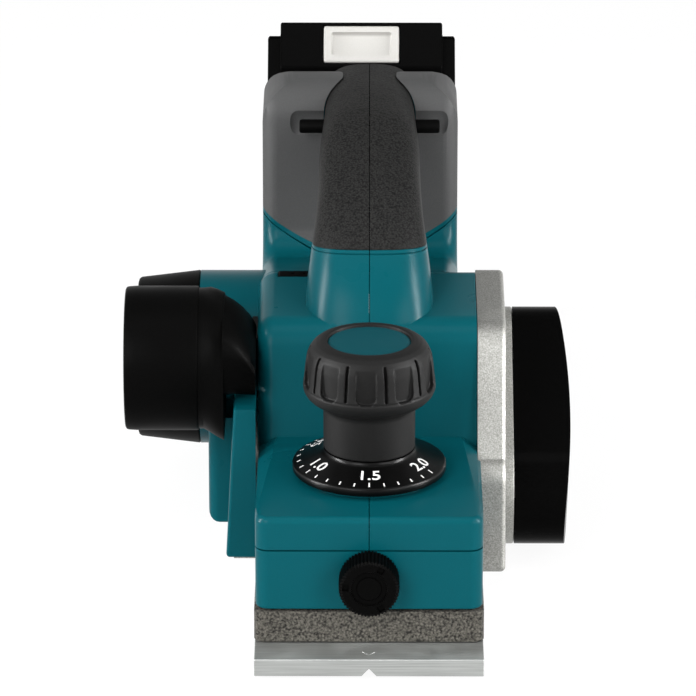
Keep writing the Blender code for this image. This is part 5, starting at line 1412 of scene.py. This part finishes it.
# the pack's outside: a front slope, a long fall to the back, and a lower shoulder on each side
def packForm():
    slope, drop = packSet["slope"], packSet["shoulderDrop"]
    front = batteryLow.y
    pack = addBox("battery", batteryLow, batteryHigh)
    roundEdges(pack, packSet["backCorner"], 5, lambda points: abs(points[0].z - points[1].z) > 0.01
               and points[0].y > batteryHigh.y - 0.001)
    carve(pack, slantTool("frontSlope", front, batteryTop - slope, packSet["rise"]))
    behind = turned(-packSet["fall"], "X")
    backSlope = addBox("backSlope", (-far, 0, 0), (far, far, far))
    carve(pack, put(backSlope, Matrix.Translation((0, front + slope, batteryTop)) @ behind))
    shoulders = []
    for side in (-1, 1):
        inner = batteryMiddle + side * ((batteryHigh.x - batteryLow.x) / 2 - packSet["shoulderWide"])
        shoulder = addBox("shoulder", (min(inner, side * far), -far, 0), (max(inner, side * far), far, far))
        fall = copyOf(shoulder, "shoulderFall")
        keepOnly(shoulder, slantTool("shoulderSlope", front, batteryTop - slope - drop, packSet["rise"]))
        put(fall, Matrix.Translation((0, front + slope, batteryTop - drop)) @ behind)
        keepOnly(fall, addBox("behind", (-far, front + slope, -far), (far, far, far)))
        shoulders += [shoulder, fall]
    carve(pack, *shoulders)
    return softenEdges(pack, packSet["edge"], 4, 30)


def makeBattery():
    pack = packForm()
    foot, back, wall, exitHalf = batteryLow.z, batteryHigh.y, packSet["wall"], packSet["exitHalf"]
    # the button lies along the front slope
    run = (Matrix.Translation((0, batteryLow.y + 0.0004, batteryTop - packSet["slope"] + 0.0004))
           @ turned(packSet["rise"], "X"))
    width, long, high = packSet["button"]
    low, half = packSet["buttonStart"], width / 2
    pocket = addBox("buttonPocket", (batteryMiddle - half - seam, low - seam, -high - packSet["travel"]),
                    (batteryMiddle + half + seam, low + long + seam, 0.01))
    terminalHalf = (terminalHigh.x - terminalLow.x) / 2 + 0.002
    ventHalf = packSet["ventHalf"]
    put(pocket, run)
    carve(pack, railTool("channel"),
          addBox("channelExit", (batteryMiddle - exitHalf, faceY - 0.003, foot - 0.003),
                 (batteryMiddle + exitHalf, faceY + 0.0069, foot + 0.012)),
          addBox("contactRoom", (batteryMiddle - terminalHalf, faceY - 0.003, foot - 0.003),
                 (batteryMiddle + terminalHalf, faceY + 0.0128, terminalHigh.z + 0.004)),
          addBox("cellRoom", (batteryLow.x + wall, faceY + 0.0168, foot + wall),
                 (batteryHigh.x - wall, back - wall, batteryTop - 0.024)),
          addBox("vent", (batteryMiddle - ventHalf, back - 0.01, foot + 0.010),
                 (batteryMiddle + ventHalf, back + 0.01, foot + 0.013)), pocket)
    steady(pack, 35)
    finishPiece(pack, "glossBlack", "battery", "black_plastic", "battery_case")
    margin = packSet["dishMargin"]
    button = addBox("batteryButton", (batteryMiddle - half, low, -high + 2 * seam),
                    (batteryMiddle + half, low + long, 0.0006))
    roundEdges(button, packSet["buttonEdge"], 4)
    dish = addBox("buttonDish", (batteryMiddle - half + margin, low + margin, -packSet["dishDeep"]),
                  (batteryMiddle + half - margin, low + long - margin, 0.01))
    roundEdges(dish, packSet["dishEdge"], 3)
    carve(put(button, run), put(dish, run))
    steady(button, 35)
    finishPiece(button, "buttonGrey", "battery_release", "button_white", "battery_button")


def makePanel():
    panel = addBox("statusPanel", panelLow, panelHigh)
    roundEdges(panel, panelSet["edge"], 3)
    middleX, y, z = middleOf(panelLow, panelHigh)
    dots = []
    for i in range(panelSet["dots"]):
        x = middleX + (i - (panelSet["dots"] - 1) / 2) * panelSet["dotApart"]
        dots.append(addRod("dot", (x, y, panelHigh.z - panelSet["dotDeep"]), (x, y, 0.2),
                           panelSet["dotRadius"], 20))
    carve(panel, *dots)
    steady(panel, 35)
    finishPiece(panel, "blackShell", "root", "black_plastic", "status_panel")


def makeBar():
    half = (barHigh.x - barLow.x) / 2
    end = [(barRadius - 0.0008, 0.0), (barRadius - 0.00025, 0.00025), (barRadius, 0.0009)]
    profile = [(0.0, 0.0), *end, *[(radius, 2 * half - height) for radius, height in reversed(end)],
               (0.0, 2 * half)]
    bar = turn("lockBar", profile, (barLow.x, barY, barZ), (1, 0, 0), 48)
    smoothShade(bar, 35)
    finishPiece(bar, "blackShell", "lock_off", "black_plastic", "lock_off_bar")


makeBattery()
makePanel()
makeBar()
print("battery, button, panel and lock bar made")
